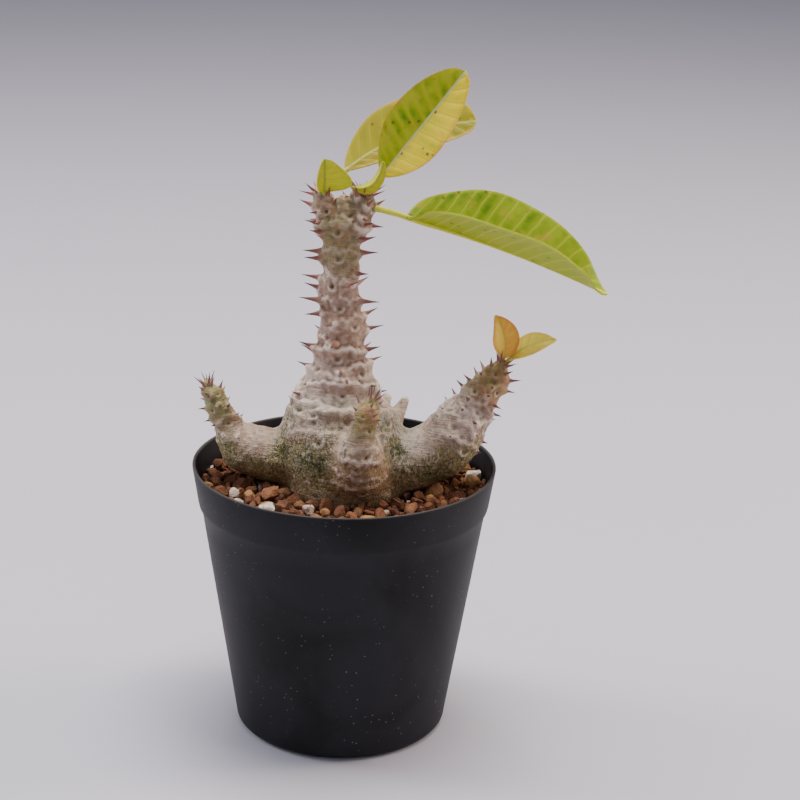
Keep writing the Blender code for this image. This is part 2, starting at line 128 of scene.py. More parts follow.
# %% Recipes
STEPS = {  # step: kind of node, its inputs in order, its result
    "noise": ("ShaderNodeTexNoise", ("Vector", "Scale", "Detail", "Distortion"), "Fac"),
    "cells": ("ShaderNodeTexVoronoi", ("Vector", "Scale"), "Distance"),
    "stretch": ("ShaderNodeMapping", ("Vector", "Scale"), "Vector"),
    "height": ("ShaderNodeSeparateXYZ", (0,), "Z"),
    "range": ("ShaderNodeMapRange", (0, 1, 2, 3, 4), 0),
    "mix": ("ShaderNodeMix", (0, 6, 7), 2),
    "bump": ("ShaderNodeBump", ("Height", "Strength", "Distance"), "Normal"),
}
SETTINGS = {"mix": {"data_type": "RGBA"}}
for operation in ("ADD", "SUBTRACT", "MULTIPLY", "FRACT", "ABSOLUTE"):
    STEPS[operation.lower()] = ("ShaderNodeMath", (0, 1), 0)
    SETTINGS[operation.lower()] = {"operation": operation}


def follow(made, value, *recipe):
    """Adds the node of each step of a recipe, and keeps its result under the step's name."""
    for name, step, *inputs in recipe:
        kind, sockets, result = STEPS[step]
        given = {}
        for socket, source in zip(sockets, inputs):
            if isinstance(source, str):
                source = linear(source) if source.startswith("#") else value[source]
            given[socket] = source
        settings = SETTINGS.get(step, {})
        value[name] = node(made.node_tree, kind, given, **settings).outputs[result]


def connect(made, shader, value, *names):
    """Joins the results that are named after a socket of the shader to that socket."""
    for name in names:
        made.node_tree.links.new(value[name], shader.inputs[name])


print(len(STEPS), "kinds of step")

# %% [markdown]
# The floor is matt painted board, almost without gloss.  A faint cloud keeps its grey from
# looking like a flat fill.


# %% Floor
def floor_finish():
    """Matt painted board: pale, even and a little cool, with hardly any gloss."""
    made, shader, value = new_material("matt_painted_board")
    follow(
        made,
        value,
        ("cloud", "noise", "place", 9.0, 3.0),  # clouds about 11 cm across
        ("Base Color", "mix", "cloud", "#c6c4d0", "#cac8d4"),
    )
    connect(made, shader, value, "Base Color")
    shader.inputs["Roughness"].default_value = 0.75
    shader.inputs["Specular IOR Level"].default_value = 0.25
    return made


bpy.ops.mesh.primitive_plane_add(size=9.0, location=(0, 2.5, -0.0004))
floor = bpy.context.object
floor.name = "floor"
bpy.ops.object.transform_apply(location=True)
floor.data.materials.append(floor_finish())
print("floor", [round(a, 2) for a in floor.dimensions])


# %% [markdown]
# Each lamp is a large rectangle of light, because a large source gives soft shadows.  The one
# above is the strongest.  The right one is a little warm and the left one a little cool, and the
# world's pale blue grey fills what they leave dark.


# %% Lights
def soft_light(name, place, target, size, power, tint):
    """A large rectangular lamp, turned to face the target."""
    bpy.ops.object.light_add(type="AREA", location=place)
    lamp = bpy.context.object
    lamp.name = name
    lamp.rotation_euler = (Vector(target) - Vector(place)).to_track_quat("-Z", "Y").to_euler()
    lamp.data.shape = "RECTANGLE"
    lamp.data.size, lamp.data.size_y = size
    lamp.data.energy = power
    lamp.data.color = linear(tint)[:3]
    return lamp


MIDDLE = (0, 0, 0.1)
soft_light("top_light", (0.05, 0.1, 1.2), MIDDLE, (0.8, 0.6), 21, "#fffaf4")
soft_light("left_light", (-1.0, 0.25, 0.5), MIDDLE, (0.4, 0.8), 8, "#fbfaff")
soft_light("right_light", (1.0, 0.2, 0.55), MIDDLE, (0.4, 0.8), 9.5, "#ffe8d4")
soft_light("front_light", (0.3, -1.5, 1.1), MIDDLE, (0.9, 0.6), 2.5, "#fffdfa")
world = bpy.data.worlds.new("studio_air")
bpy.context.scene.world = world
world.use_nodes = True
sky = world.node_tree.nodes["Background"]
sky.inputs["Color"].default_value = linear("#d8d9ea")
sky.inputs["Strength"].default_value = 0.31


# %% [markdown]
# ## Modelling helpers
#
# The pot and the bed are turned shapes.


# %% Selecting, merging and finishing
def start_clean():
    if bpy.context.object and bpy.context.object.mode != "OBJECT":
        bpy.ops.object.mode_set(mode="OBJECT")
    bpy.ops.object.select_all(action="DESELECT")


def only(piece):
    start_clean()
    piece.select_set(True)
    bpy.context.view_layer.objects.active = piece
    return piece


def apply_modifier(piece, kind, **settings):
    """Adds a modifier with its settings and applies it."""
    only(piece)
    step = piece.modifiers.new(kind.lower(), kind)
    for name, value in settings.items():
        setattr(step, name, value)
    bpy.ops.object.modifier_apply(modifier=step.name)


def outwards(piece, merge=0.000002):
    """Merges doubled points and turns every face outwards."""
    only(piece)
    bpy.ops.object.mode_set(mode="EDIT")
    bpy.ops.mesh.select_all(action="SELECT")
    bpy.ops.mesh.remove_doubles(threshold=merge)
    bpy.ops.mesh.normals_make_consistent(inside=False)
    bpy.ops.object.mode_set(mode="OBJECT")


print("selected:", len(bpy.context.selected_objects))

# %% [markdown]
# Parts of a piece are joined and get their place applied, so that the object sits at the origin.
# A finished piece is smoothed, given its finish, and tied to the frame: it rides on the root, and
# the nodes it replaces are hidden.


# %% Joining and handing over
def join(pieces, name):
    start_clean()
    for piece in pieces:
        piece.select_set(True)
    bpy.context.view_layer.objects.active = pieces[0]
    if len(pieces) > 1:
        bpy.ops.object.join()
    whole = bpy.context.object
    whole.name = whole.data.name = name
    bpy.ops.object.transform_apply(location=True, rotation=True, scale=True)
    return whole


def hand_over(piece, finish, slot, *nodes, smooth=35):
    """Smooths a finished piece, gives it its finish and ties it to the frame."""
    only(piece)
    bpy.ops.object.shade_smooth_by_angle(angle=math.radians(smooth))
    if finish:
        piece.data.materials.clear()
        piece.data.materials.append(finish)
    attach(piece, "root")
    if nodes:
        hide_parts(*nodes)
    print(piece.name, len(piece.data.polygons), "faces")


# %% [markdown]
# A turned shape is built ring by ring: the last ring is extruded to the next height and resized
# to the next radius.  The middle of the first ring is filled, and the last one is closed.


# %% Turned shapes
def turned(name, profile, sides):
    """A closed turned shape from (radius, height) points; it starts and ends on the axis."""
    start_clean()
    (radius, height), *rest = profile
    bpy.ops.mesh.primitive_circle_add(
        vertices=sides, radius=radius, location=(0, 0, height), fill_type="NGON"
    )
    piece = bpy.context.object
    bpy.ops.object.transform_apply(location=True)
    bpy.ops.object.mode_set(mode="EDIT")
    bpy.ops.mesh.select_mode(type="VERT")
    bpy.ops.mesh.select_all(action="SELECT")
    for next_radius, next_height in rest:
        bpy.ops.mesh.extrude_edges_move(
            TRANSFORM_OT_translate={"value": (0, 0, next_height - height)}
        )
        scale = next_radius / radius
        bpy.ops.transform.resize(value=(scale, scale, 1), center_override=(0, 0, 0))
        radius, height = next_radius, next_height
    bpy.ops.mesh.edge_face_add()
    bpy.ops.object.mode_set(mode="OBJECT")
    piece.name = piece.data.name = name
    outwards(piece)
    return piece


# %% [markdown]
# ## The pot
#
# A round nursery pot is thinly injected polypropylene: a tapering wall of about a millimetre, a
# slightly wider collar under the lip, a softly rounded bottom corner and drain holes.  It is
# turned from one profile that runs from the middle of the floor inside, over the lip, and down
# the outside to the middle of the underside.  Small extra rings hold the edges.

# %% Pot shape
WALL = 1.0 * MM
FLOOR = 1.5 * MM
COLLAR = 11.8 * MM
STEP = 0.7 * MM
BASE = 31.5 * MM
CORNER = 2.5 * MM
SIDES = 144


def outer_radius(height):
    body = BASE + (LIP - STEP - BASE) * height / HEIGHT
    return body + (STEP if height > HEIGHT - COLLAR else 0.0)


def inner_radius(height):
    return outer_radius(height) - WALL


ledge = HEIGHT - COLLAR
ease = 0.35 * MM
corner = [
    (
        outer_radius(CORNER) - CORNER + CORNER * math.cos(math.pi / 2 * i / 8),
        CORNER - CORNER * math.sin(math.pi / 2 * i / 8),
    )
    for i in range(9)
]
profile = [
    (2 * MM, FLOOR),
    (14 * MM, FLOOR),
    (26 * MM, FLOOR),
    (inner_radius(FLOOR) - WALL, FLOOR),
    (inner_radius(FLOOR + WALL), FLOOR + WALL),
    *[(inner_radius(h * MM), h * MM) for h in (8, 20, 35, 50, 64)],
    (inner_radius(ledge - 1.3 * MM), ledge - 1.3 * MM),
    (inner_radius(ledge + MM / 100) - 0.1 * MM, ledge - 0.2 * MM),
    (inner_radius(ledge + MM), ledge + MM),
    (inner_radius(75 * MM), 75 * MM),
    (inner_radius(HEIGHT - ease), HEIGHT - ease),
    (inner_radius(HEIGHT) + 0.12 * MM, HEIGHT - 0.1 * MM),
    (inner_radius(HEIGHT) + ease, HEIGHT),
    (LIP - ease, HEIGHT),
    (LIP - 0.1 * MM, HEIGHT - 0.1 * MM),
    (outer_radius(HEIGHT - ease), HEIGHT - ease),
    (outer_radius(75 * MM), 75 * MM),
    (outer_radius(ledge + MM), ledge + MM),
    (outer_radius(ledge + MM / 100) - 0.12 * MM, ledge - 0.2 * MM),
    (outer_radius(ledge - 1.3 * MM), ledge - 1.3 * MM),
    *[(outer_radius(h * MM), h * MM) for h in (64, 50, 35, 20, 8)],
    *corner,
    (26 * MM, 0),
    (14 * MM, 0),
    (2 * MM, 0),
]
pot = turned("nursery_pot", profile, SIDES)
print("pot", [round(a / MM, 1) for a in pot.dimensions], "mm")

# %% [markdown]
# The drain holes are cut last.  Six cylinders are joined into one cutter, and a Boolean modifier
# takes it out of the floor; the exact solver leaves clean edges.

# %% Drain holes
HOLE_COUNT, HOLE_RADIUS, HOLE_CIRCLE = 6, 3 * MM, 20 * MM
holes = []
for i in range(HOLE_COUNT):
    start_clean()
    turn = 2 * math.pi * i / HOLE_COUNT
    bpy.ops.mesh.primitive_cylinder_add(
        vertices=24,
        radius=HOLE_RADIUS,
        depth=4 * FLOOR,
        location=(HOLE_CIRCLE * math.cos(turn), HOLE_CIRCLE * math.sin(turn), FLOOR / 2),
    )
    holes.append(bpy.context.object)
cutter = join(holes, "drain_cutter")
apply_modifier(pot, "BOOLEAN", operation="DIFFERENCE", object=cutter, solver="EXACT")
bpy.data.objects.remove(cutter)
print("pot after drilling", len(pot.data.polygons), "faces")

# %% [markdown]
# Injected polypropylene coloured with carbon black is satin: its sheen is broad and soft, with
# fine dust caught on it and faint smudges where it was handled.  Its lip is painted lighter, as a
# painted highlight.


# %% Pot finish
def pot_finish():
    made, shader, value = new_material("moulded_black_polypropylene")
    follow(
        made,
        value,
        ("smudge", "noise", "place", 30.0, 4.0, 0.6),  # about 33 mm across
        ("smear", "range", "smudge", 0.38, 0.6),
        ("haze", "mix", "smear", "#0c0c0e", "#222226"),
        # dust specks of 0.2 mm, drawn at 0.5 mm so that they show
        ("dust", "cells", "place", 1 / (2.0 * MM)),
        ("speck", "range", "dust", 0.13, 0.07),
        ("patch", "noise", "place", 42.0),  # where dust gathers, 24 mm across
        ("where", "range", "patch", 0.4, 0.64, 0.0, 0.6),
        ("dust_and_shade", "multiply", "speck", "where"),
        ("colour", "mix", "dust_and_shade", "haze", "#8d8c8c"),
        ("height", "height", "place"),
        # painted highlight: the top half millimetre of the lip is painted lighter
        ("lip_highlight", "range", "height", HEIGHT - 0.5 * MM, HEIGHT, 0.0, 0.8),
        ("Base Color", "mix", "lip_highlight", "colour", "#4a4644"),
        ("Roughness", "range", "smudge", 0.3, 0.7, 0.46, 0.6),
        # the mould's grain
        ("grain", "noise", "place", 1 / (0.6 * MM), 2.0),
        ("Normal", "bump", "grain", 0.06, 0.1 * MM),
    )
    connect(made, shader, value, "Base Color", "Roughness", "Normal")
    shader.inputs["IOR"].default_value = 1.49
    shader.inputs["Specular IOR Level"].default_value = 0.17
    return made


hand_over(pot, pot_finish(), "pot_plastic", "pot", smooth=50)

# %% [markdown]
# ## The woody body
#
# Caudex, stem and branches grew as one, so they become one skin.  Each limb is first a round
# tube on a line whose thickness changes; a curve is the natural tool for that.  The tubes are
# then fused by a voxel remesh, which leaves an even net of small faces, and smoothed a little so
# that the forks swell into each other as living tissue does.


# %% A tube on a smooth line
LINE_STEP = 0.7  # mm between two points of a limb's line


def smooth_line(points, spacing=LINE_STEP * MM):
    """A denser list of (place, radius) on a smooth line through the given ones."""
    dense = []
    ends = [points[0], *points, points[-1]]
    for before, start, end, after in zip(ends, ends[1:], ends[2:], ends[3:]):
        count = max(2, round((end[0] - start[0]).length / spacing))
        for i in range(count):
            t = i / count
            weights = (
                (-(t**3) + 2 * t**2 - t) / 2,
                (3 * t**3 - 5 * t**2 + 2) / 2,
                (-3 * t**3 + 4 * t**2 + t) / 2,
                (t**3 - t**2) / 2,
            )
            near = (before, start, end, after)
            place = sum((p[0] * w for p, w in zip(near, weights)), Vector())
            dense.append((place, sum(p[1] * w for p, w in zip(near, weights))))
    return dense + [points[-1]]


def tube(name, points, sides=16):
    """A round tube through (place, radius) points, with rounded ends, as a mesh."""
    start_clean()
    first, last = points[0], points[-1]
    back = (first[0] - points[1][0]).normalized()
    onward = (last[0] - points[-2][0]).normalized()
    caps = [(0.25, 0.968), (0.5, 0.866), (0.75, 0.661), (0.93, 0.37)]  # a quarter of a circle
    line = [(first[0] + back * first[1] * a, first[1] * b) for a, b in reversed(caps)]
    line += points
    line += [(last[0] + onward * last[1] * a, last[1] * b) for a, b in caps]
    bpy.ops.curve.primitive_nurbs_path_add()
    path = bpy.context.object
    path.data.splines.clear()
    spline = path.data.splines.new("POLY")
    spline.points.add(len(line) - 1)
    for point, (place, radius) in zip(spline.points, line):
        point.co = (*place, 1.0)
        point.radius = radius
    path.data.bevel_depth = 1.0
    path.data.bevel_resolution = sides // 2 - 2
    path.data.use_fill_caps = True
    path.data.resolution_u = 1
    bpy.ops.object.convert(target="MESH")
    piece = bpy.context.object
    piece.name = name
    outwards(piece)
    return piece


# %% [markdown]
# The lines of the limbs, in millimetres over the bed.  The stem leans a little to the left as it
# rises; one branch leaves to each side and one to the front, and two short stubs stand behind.

# %% Limb lines
STEM_HEIGHT = 80.5
FORK = BED + STEM_HEIGHT * MM
CAUDEX = 18.6


def over_bed(x, y, height, radius):
    return Vector((x * MM, y * MM, BED + height * MM)), radius * MM


def side_branch(reach, rise, depth, shape):
    return [over_bed(reach * out, depth, rise * up, radius) for out, up, radius in shape]


stem_shape = [  # share of the height, share of the caudex's radius, lean
    (0.00, 0.980, 0.5),
    (0.08, 1.000, 0.3),
    (0.17, 1.000, -0.9),
    (0.255, 0.905, -1.8),
    (0.325, 0.720, -2.1),
    (0.39, 0.560, -1.8),
    (0.455, 0.440, -1.7),
    (0.52, 0.375, -1.6),
    (0.62, 0.330, -1.6),
    (0.71, 0.285, -1.9),
    (0.82, 0.268, -2.0),
    (0.93, 0.275, -2.0),
    (1.00, 0.290, -2.0),
]
root_shape = [(24.0, 0.22), (15.6, 0.55), (7.2, 0.85)]  # depth, share of the caudex's radius
limbs = {
    "stem": [over_bed(1, 1, -depth, CAUDEX * width) for depth, width in root_shape]
    + [
        over_bed(lean, 1 - share, STEM_HEIGHT * share, CAUDEX * width)
        for share, width, lean in stem_shape
    ],
    "left": side_branch(
        -34,
        31,
        1.0,
        [
            (0.10, 0.28, 9.0),
            (0.52, 0.25, 7.9),
            (0.72, 0.285, 7.9),
            (0.87, 0.34, 7.5),
            (0.97, 0.45, 5.5),
            (1.02, 0.57, 3.8),
            (1.075, 0.70, 3.1),
            (1.135, 0.82, 2.5),
            (1.175, 0.90, 2.1),
            (1.195, 0.96, 1.4),
        ],
    ),
    "right": side_branch(
        31.5,
        40,
        -1.5,
        [
            (0.10, 0.20, 9.5),
            (0.48, 0.17, 9.2),
            (0.755, 0.26, 8.9),
            (0.89, 0.32, 9.0),
            (1.00, 0.42, 8.8),
            (1.12, 0.545, 7.1),
            (1.21, 0.67, 5.3),
            (1.33, 0.82, 4.1),
            (1.40, 0.92, 3.0),
            (1.44, 0.98, 1.7),
        ],
    ),
    "front": [
        over_bed(4.0, -6.0, 6.0, 9.0),
        over_bed(4.4, -11.0, 8.5, 9.0),
        over_bed(4.6, -14.5, 12.5, 8.4),
        over_bed(5.0, -18.0, 17.5, 6.3),
        over_bed(5.2, -19.5, 22.0, 4.3),
        over_bed(6.2, -20.0, 26.5, 3.0),
        over_bed(7.0, -20.0, 30.5, 2.4),
        over_bed(7.9, -20.0, 33.5, 1.3),
    ],
    "stub_tall": [
        over_bed(10.0, 4.0, 10.0, 4.0),
        over_bed(13.0, 6.0, 14.5, 3.4),
        over_bed(15.2, 8.0, 19.0, 2.4),
        over_bed(17.5, 9.5, 23.4, 1.3),
    ],
    "stub_short": [
        over_bed(6.0, 4.0, 10.0, 4.0),
        over_bed(9.0, 6.0, 14.5, 3.4),
        over_bed(10.6, 7.5, 20.0, 2.4),
        over_bed(12.3, 8.5, 25.0, 1.3),
    ],
    "crown_left": [
        over_bed(-2.4, 0, STEM_HEIGHT - 4.5, 4.4),
        over_bed(-4.7, 0, STEM_HEIGHT, 3.7),
        over_bed(-7.2, 0, STEM_HEIGHT + 4.5, 2.8),
        over_bed(-8.4, 0, STEM_HEIGHT + 8.0, 2.1),
    ],
    "crown_right": [
        over_bed(-1.2, 0, STEM_HEIGHT - 4.5, 4.4),
        over_bed(1.5, 0, STEM_HEIGHT, 4.2),
        over_bed(3.6, 0, STEM_HEIGHT + 4.5, 3.7),
        over_bed(4.5, 0, STEM_HEIGHT + 8.0, 2.8),
    ],
}
lines = {name: smooth_line(points) for name, points in limbs.items()}
print("limbs", {name: len(line) for name, line in lines.items()})

# %% [markdown]
# The tubes are joined and remeshed.  A voxel remesh keeps only the outside, so what lies inside
# another limb is gone, and every face is about half a millimetre wide, fine enough for a scar.

# %% Fuse the limbs into one skin
SKIN = 0.48 * MM  # side of one face of the skin
body = join([tube(name, line, 24) for name, line in lines.items()], "woody_body")
apply_modifier(body, "REMESH", mode="VOXEL", voxel_size=SKIN, adaptivity=0.0)
apply_modifier(body, "SMOOTH", factor=0.5, iterations=5)
print("skin", len(body.data.polygons), "faces")

# %% [markdown]
# The skin has some seventy thousand points.  numpy reads and moves them all at once, which is
# hundreds of times faster than a loop over them.  Numbers can also be stored on the points, as
# attributes, and a smooth ramp from 0 to 1 serves to say where something starts and ends.


# %% Points of a mesh as numbers
def points_of(piece):
    values = np.empty(len(piece.data.vertices) * 3, np.float32)
    piece.data.vertices.foreach_get("co", values)
    return values.reshape(-1, 3).astype(float)


def normals_of(piece):
    values = np.empty(len(piece.data.vertices) * 3, np.float32)
    piece.data.vertices.foreach_get("normal", values)
    return values.reshape(-1, 3).astype(float)


def move_points(piece, points):
    piece.data.vertices.foreach_set("co", points.astype(np.float32).ravel())
    piece.data.update()


def keep_numbers(piece, name, values):
    """Stores one number for each point, for the material to read."""
    layer = piece.data.attributes.new(name, "FLOAT", "POINT")
    layer.data.foreach_set("value", np.asarray(values, np.float32))


def ramp(values, start, end):
    """0 at start, 1 at end, smooth between."""
    share = np.clip((values - start) / (end - start), 0, 1)
    return share * share * (3 - 2 * share)


print("skin points", len(points_of(body)))

# %% [markdown]
# Something that differs from one limb to the next would show a hard limit where they meet.  Each
# point's number is therefore mixed with the mean of its neighbours, again and again.

# %% Evening out over the skin
sides = np.empty(len(body.data.edges) * 2, np.int32)
body.data.edges.foreach_get("vertices", sides)
sides = sides.reshape(-1, 2)
meeting = np.bincount(sides.ravel(), minlength=len(body.data.vertices))


def spread(values, times):
    """Evens the numbers out over the skin, so that no limit between two limbs shows."""
    for _ in range(times):
        around = np.bincount(sides[:, 0], values[sides[:, 1]], len(values))
        around += np.bincount(sides[:, 1], values[sides[:, 0]], len(values))
        values = 0.5 * values + 0.5 * around / meeting
    return values


print(len(sides), "edges join the points")

# %% [markdown]
# Limbs that grew from one body have no sharp corner between them.  The skin is hollow there: the
# mean of a point's neighbours lies outside it.  Those places are found, widened, and evened out
# many times, which fills the corners and leaves the rest as it is.


# %% Fill the corners between limbs
CORNER_ROUNDS = 220
points, normals = points_of(body), normals_of(body)


def evened(points):
    return np.stack([spread(points[:, axis], 1) for axis in range(3)], axis=1)


hollow = ((evened(points) - points) * normals).sum(axis=1) / MM
corner = ramp(hollow, 0.002, 0.012)  # mm; hardly hollow, and clearly so
corner *= ramp(points[:, 2] / MM, BED / MM + 34, BED / MM + 26)  # the fork above stays sharp
corner = np.clip(spread(corner, 40) * 3.0, 0, 1)
for name in ("stub_tall", "stub_short"):  # these stay distinct
    gap = np.min([np.linalg.norm(points - place, axis=1) for place, _ in lines[name]], axis=0)
    corner *= ramp(gap, 3.2 * MM, 6.5 * MM)
for _ in range(CORNER_ROUNDS):
    points += (evened(points) - points) * corner[:, None]
move_points(body, points)
print("corner share", round(float(corner.mean()), 3))

# %% [markdown]
# ## Cushions and spines
#
# The spines of a pachypodium stand in pairs, at the two ends of a raised crescent cushion, the
# podarium, which is what is left of a leaf's base.  A rule of growth would put them on an even
# spiral.  This plant is old enough for the spiral to be disturbed, so the stem's cushions are
# listed one by one, from the fork down, and the branches' follow the golden angle.


# %% Cushion places
class Cushion:
    """A crescent cushion: where it sits, which way is up along its limb, and its size in mm."""

    def __init__(self, limb, distance, turn, width, height, splay, length, rise=0.15):
        line = lines[limb]
        for (start, start_radius), (end, end_radius) in zip(line, line[1:]):
            step = (end - start).length
            if distance <= step:
                break
            distance -= step
        share = min(1.0, distance / step)
        self.up = (end - start).normalized()
        self.side = Vector((0, 1, 0)).cross(self.up).normalized()
        self.ahead = self.side.cross(self.up).normalized()
        self.centre = start.lerp(end, share)
        self.radius = start_radius + (end_radius - start_radius) * share
        self.turn, self.width, self.height = turn, width, height
        self.splay, self.length, self.rise = splay, length, rise
        self.out = self.direction(turn)
        self.across = self.up.cross(self.out).normalized()

    def direction(self, turn):
        """Away from the limb's axis; 0 degrees is to its right as seen from the front."""
        angle = math.radians(turn)
        return self.side * math.cos(angle) + self.ahead * math.sin(angle)


print("a cushion faces", [round(a, 2) for a in Cushion("stem", 0, 90, 3, 1, 60, 5).out])

# %% [markdown]
# The stem's cushions, from the fork down.  They get wider and flatter with age, and their spines
# shorter.  Below them are folds: old cushions that have lost their spines, and creases round
# the foot of the front branch.


# %% Cushions of the stem
def length_of(line):
    return sum((b[0] - a[0]).length for a, b in zip(line, line[1:]))


stem_cushions = [  # height over the bed, turn (0 right, 90 front), splay, spine length
    (80.5, 100, 70, 4.6),
    (78.4, 215, 62, 4.6),
    (76.2, 330, 66, 5.2),
    (72.6, 95, 76, 5.4),
    (70.4, 232, 60, 5.4),
    (66.8, 340, 58, 5.0),
    (64.2, 118, 62, 5.8),
    (61.0, 250, 62, 5.6),
    (58.2, 92, 74, 5.8),
    (54.8, 205, 60, 5.4),
    (52.4, 48, 60, 5.0),
    (49.0, 300, 62, 5.2),
    (46.4, 165, 58, 5.0),
    (43.6, 96, 70, 5.4),
    (41.0, 258, 56, 5.0),
    (38.6, 38, 52, 4.8),
    (36.2, 140, 56, 4.6),
    (33.6, 84, 58, 3.2),
    (31.4, 330, 52, 3.6),
    (29.6, 205, 50, 3.4),
    (27.6, 118, 48, 2.2),
]
stem_root = (lines["stem"][0][0] - over_bed(1, 1, 0, 1)[0]).length
cushions = []
for height, turn, splay, length in stem_cushions:
    width = 3.4 + 3.4 * max(0.0, (58 - height) / 30)
    relief = 1.0 if height > 45 else 1.35
    cushions.append(Cushion("stem", stem_root + height * MM, turn, width, relief, splay, length))
print(len(cushions), "cushions on the stem")

# %% [markdown]
# The folds have no spines, so their spine length is 0.  They only wrinkle the skin, the more
# weakly the lower they are.

# %% Old folds
folds = [  # height over the bed, turn, splay, relief
    (26.8, 78, 50, 1.3),
    (24.8, 150, 40, 1.0),
    (23.6, 30, 36, 0.9),
    (21.5, 108, 34, 0.7),
    (19.0, 62, 30, 0.5),
    (22.5, 250, 50, 0.9),
]
for height, turn, splay, relief in folds:
    cushions.append(Cushion("stem", stem_root + height * MM, turn, 5.5, relief, splay, 0))
front_folds = [  # distance along the front branch in mm, turn, splay, relief
    (9.5, 80, 60, 0.5),
    (13.0, 100, 55, 0.6),
    (17.5, 95, 60, 0.8),
    (20.5, 70, 50, 0.5),
]
for distance, turn, splay, relief in front_folds:
    cushions.append(Cushion("front", distance * MM, turn, 3.0, relief, splay, 0))
print(len(folds) + len(front_folds), "folds")

# %% [markdown]
# On the branches the cushions stand close together and follow the golden angle, in which each
# new leaf of a growing tip turns away from the one before.  At the very tip the spines stand up,
# and the last ones form a tuft.

# %% Cushions of the branches
GOLDEN_ANGLE = 137.5
branch_rows = [  # limb, first and last distance from its tip, step, turn, width, splay, spine
    ("left", 16.0, 0.3, 1.7, 20, 2.0, 52, 2.8),
    ("right", 24.0, 0.3, 1.4, 60, 2.6, 46, 3.8),
    ("front", 7.0, 0.3, 1.2, 60, 1.6, 50, 2.9),
    ("crown_left", 7.0, 0.2, 1.5, 170, 2.2, 42, 3.6),
    ("crown_right", 8.5, 0.2, 1.6, 200, 2.6, 42, 3.8),
]
for limb, first, last, step, turn, width, splay, length in branch_rows:
    whole = length_of(lines[limb]) / MM
    place = first
    while place > last:
        fresh = 1.0 if limb.startswith("crown") else min(1.0, 0.4 + 1.1 * (1 - place / first))
        rise = 0.25 + 1.3 * max(0.0, 1 - place / 4.5)  # spines at a tip stand up
        firmness = {"front": 0.25, "crown_left": 0.5, "crown_right": 0.5}.get(limb, 0.65)
        relief = firmness * min(1.0, 0.45 + place / 12)
        cushions.append(
            Cushion(limb, (whole - place) * MM, turn, width, relief, splay, length * fresh, rise)
        )
        place -= step
        turn += GOLDEN_ANGLE
tufts = [  # limb, spines, tilt away from the limb's direction, length
    ("left", 9, 40, 4.2),
    ("right", 12, 40, 4.8),
    ("front", 9, 20, 4.4),
    ("crown_left", 11, 44, 5.0),
    ("crown_right", 12, 54, 5.2),
]
print(len(cushions), "cushions,", len(tufts), "tufts")

# %% [markdown]
# The skin is then shaped in code, point by point, because no single modifier draws a crescent.
# Each cushion lifts the points near it: steeply above its arched upper edge, gently below.  Old
# skin is also pushed in and out by slow noise, and fine wrinkles are left to the material.  The
# same numbers are kept on the points as attributes, so that the colours can follow the shape.


# %% Shape the skin
MOST_LIFT = 2.6 * MM
points = points_of(body)
normals = normals_of(body)
lift = np.zeros(len(points))
ridge_highlight = np.zeros(len(points))
scar = np.zeros(len(points))
for cushion in cushions:
    offset = points - np.array(cushion.centre)
    near = np.flatnonzero((np.abs(offset @ np.array(cushion.up)) < 8 * MM))
    out = offset[near] @ np.array(cushion.out)
    across = offset[near] @ np.array(cushion.across)
    own = np.hypot(out, across) < cushion.radius * 1.2 + 2 * MM  # not the next limb's skin
    near, out, across = near[own], out[own], across[own]
    along = offset[near] @ np.array(cushion.up)
    angle = np.degrees(np.arctan2(across, out))
    u = angle / cushion.splay  # -1 and 1 at the two ends of the cushion
    # the crescent: arch is the height over its curved upper edge, in mm, which wavers a little
    arch = along / MM + 1.5 * u**2 - 0.6 + 0.35 * np.sin(angle / 8 + cushion.turn)
    arch += 0.2 * np.sin(angle / 3.1 + cushion.turn)
    profile_up = np.exp(-((arch / 0.7) ** 2))
    profile_down = np.exp(-((arch / (cushion.width * 0.45)) ** 2))
    shape = np.where(arch > 0, profile_up, profile_down)
    inside = np.exp(-(np.abs(u) ** 4) * 0.7)
    whole = 0.4 if cushion.radius < 6 * MM else 0.8  # how far the crescent fills its middle
    filled = whole + (1 - whole) * np.minimum(1, u**2)
    lift[near] += cushion.height * MM * shape * inside * filled
    # the cushion's upper edge, which is painted pale as a painted highlight
    edge = profile_up * np.where(arch > -0.4, 1, 0.3) * inside * filled
    ridge_highlight[near] = np.maximum(ridge_highlight[near], edge)
    # the leaf's scar under the middle: a raised ring round a pit
    size = min(1.3, cushion.radius / MM * 0.24)
    ring = np.hypot(np.radians(angle) * cushion.radius / MM, along / MM + 0.9 + size)
    rim = np.exp(-(((ring - size) / 0.4) ** 2)) * ramp(along / MM, -0.2 - size, -1.6 - size)
    scar[near] = np.maximum(scar[near], rim * (np.abs(u) < 0.75))
    lift[near] += 0.3 * MM * rim - 0.35 * MM * np.exp(-((ring / (0.75 * size)) ** 2))
    for part in (-1, 1):  # the skin rises round the foot of each spine
        foot_angle = angle - part * cushion.splay
        foot = np.hypot(
            np.radians(foot_angle) * cushion.radius / MM,
            np.where(along / MM > -0.9, 1.35, 0.6) * (along / MM + 0.9),
        )
        flare = 1.5 * MM * np.exp(-((foot / 1.3) ** 1.6))
        lift[near] += flare * min(1.0, cushion.length / 4.0)
lift = np.minimum(lift, MOST_LIFT)
points += normals * lift[:, None]
move_points(body, points)
print("raised by up to", round(lift.max() / MM, 2), "mm")

# %% [markdown]
# Old skin is never even.  Two Displace modifiers with cloud textures push it in and out: one
# slowly, by about a millimetre, and one as small knobs of a third of a millimetre.


# %% Slow swellings and hollows
def cloud_texture(name, size, depth=2):
    made = bpy.data.textures.new(name, "CLOUDS")
    made.noise_scale = size
    made.noise_depth = depth
    return made


swell = cloud_texture("slow_swelling", 7 * MM)
apply_modifier(body, "DISPLACE", texture=swell, strength=1.1 * MM, mid_level=0.5)
knobs = cloud_texture("small_knobs", 1.8 * MM, 1)
apply_modifier(body, "DISPLACE", texture=knobs, strength=0.36 * MM, mid_level=0.5)
print("body", [round(a / MM, 1) for a in body.dimensions], "mm")
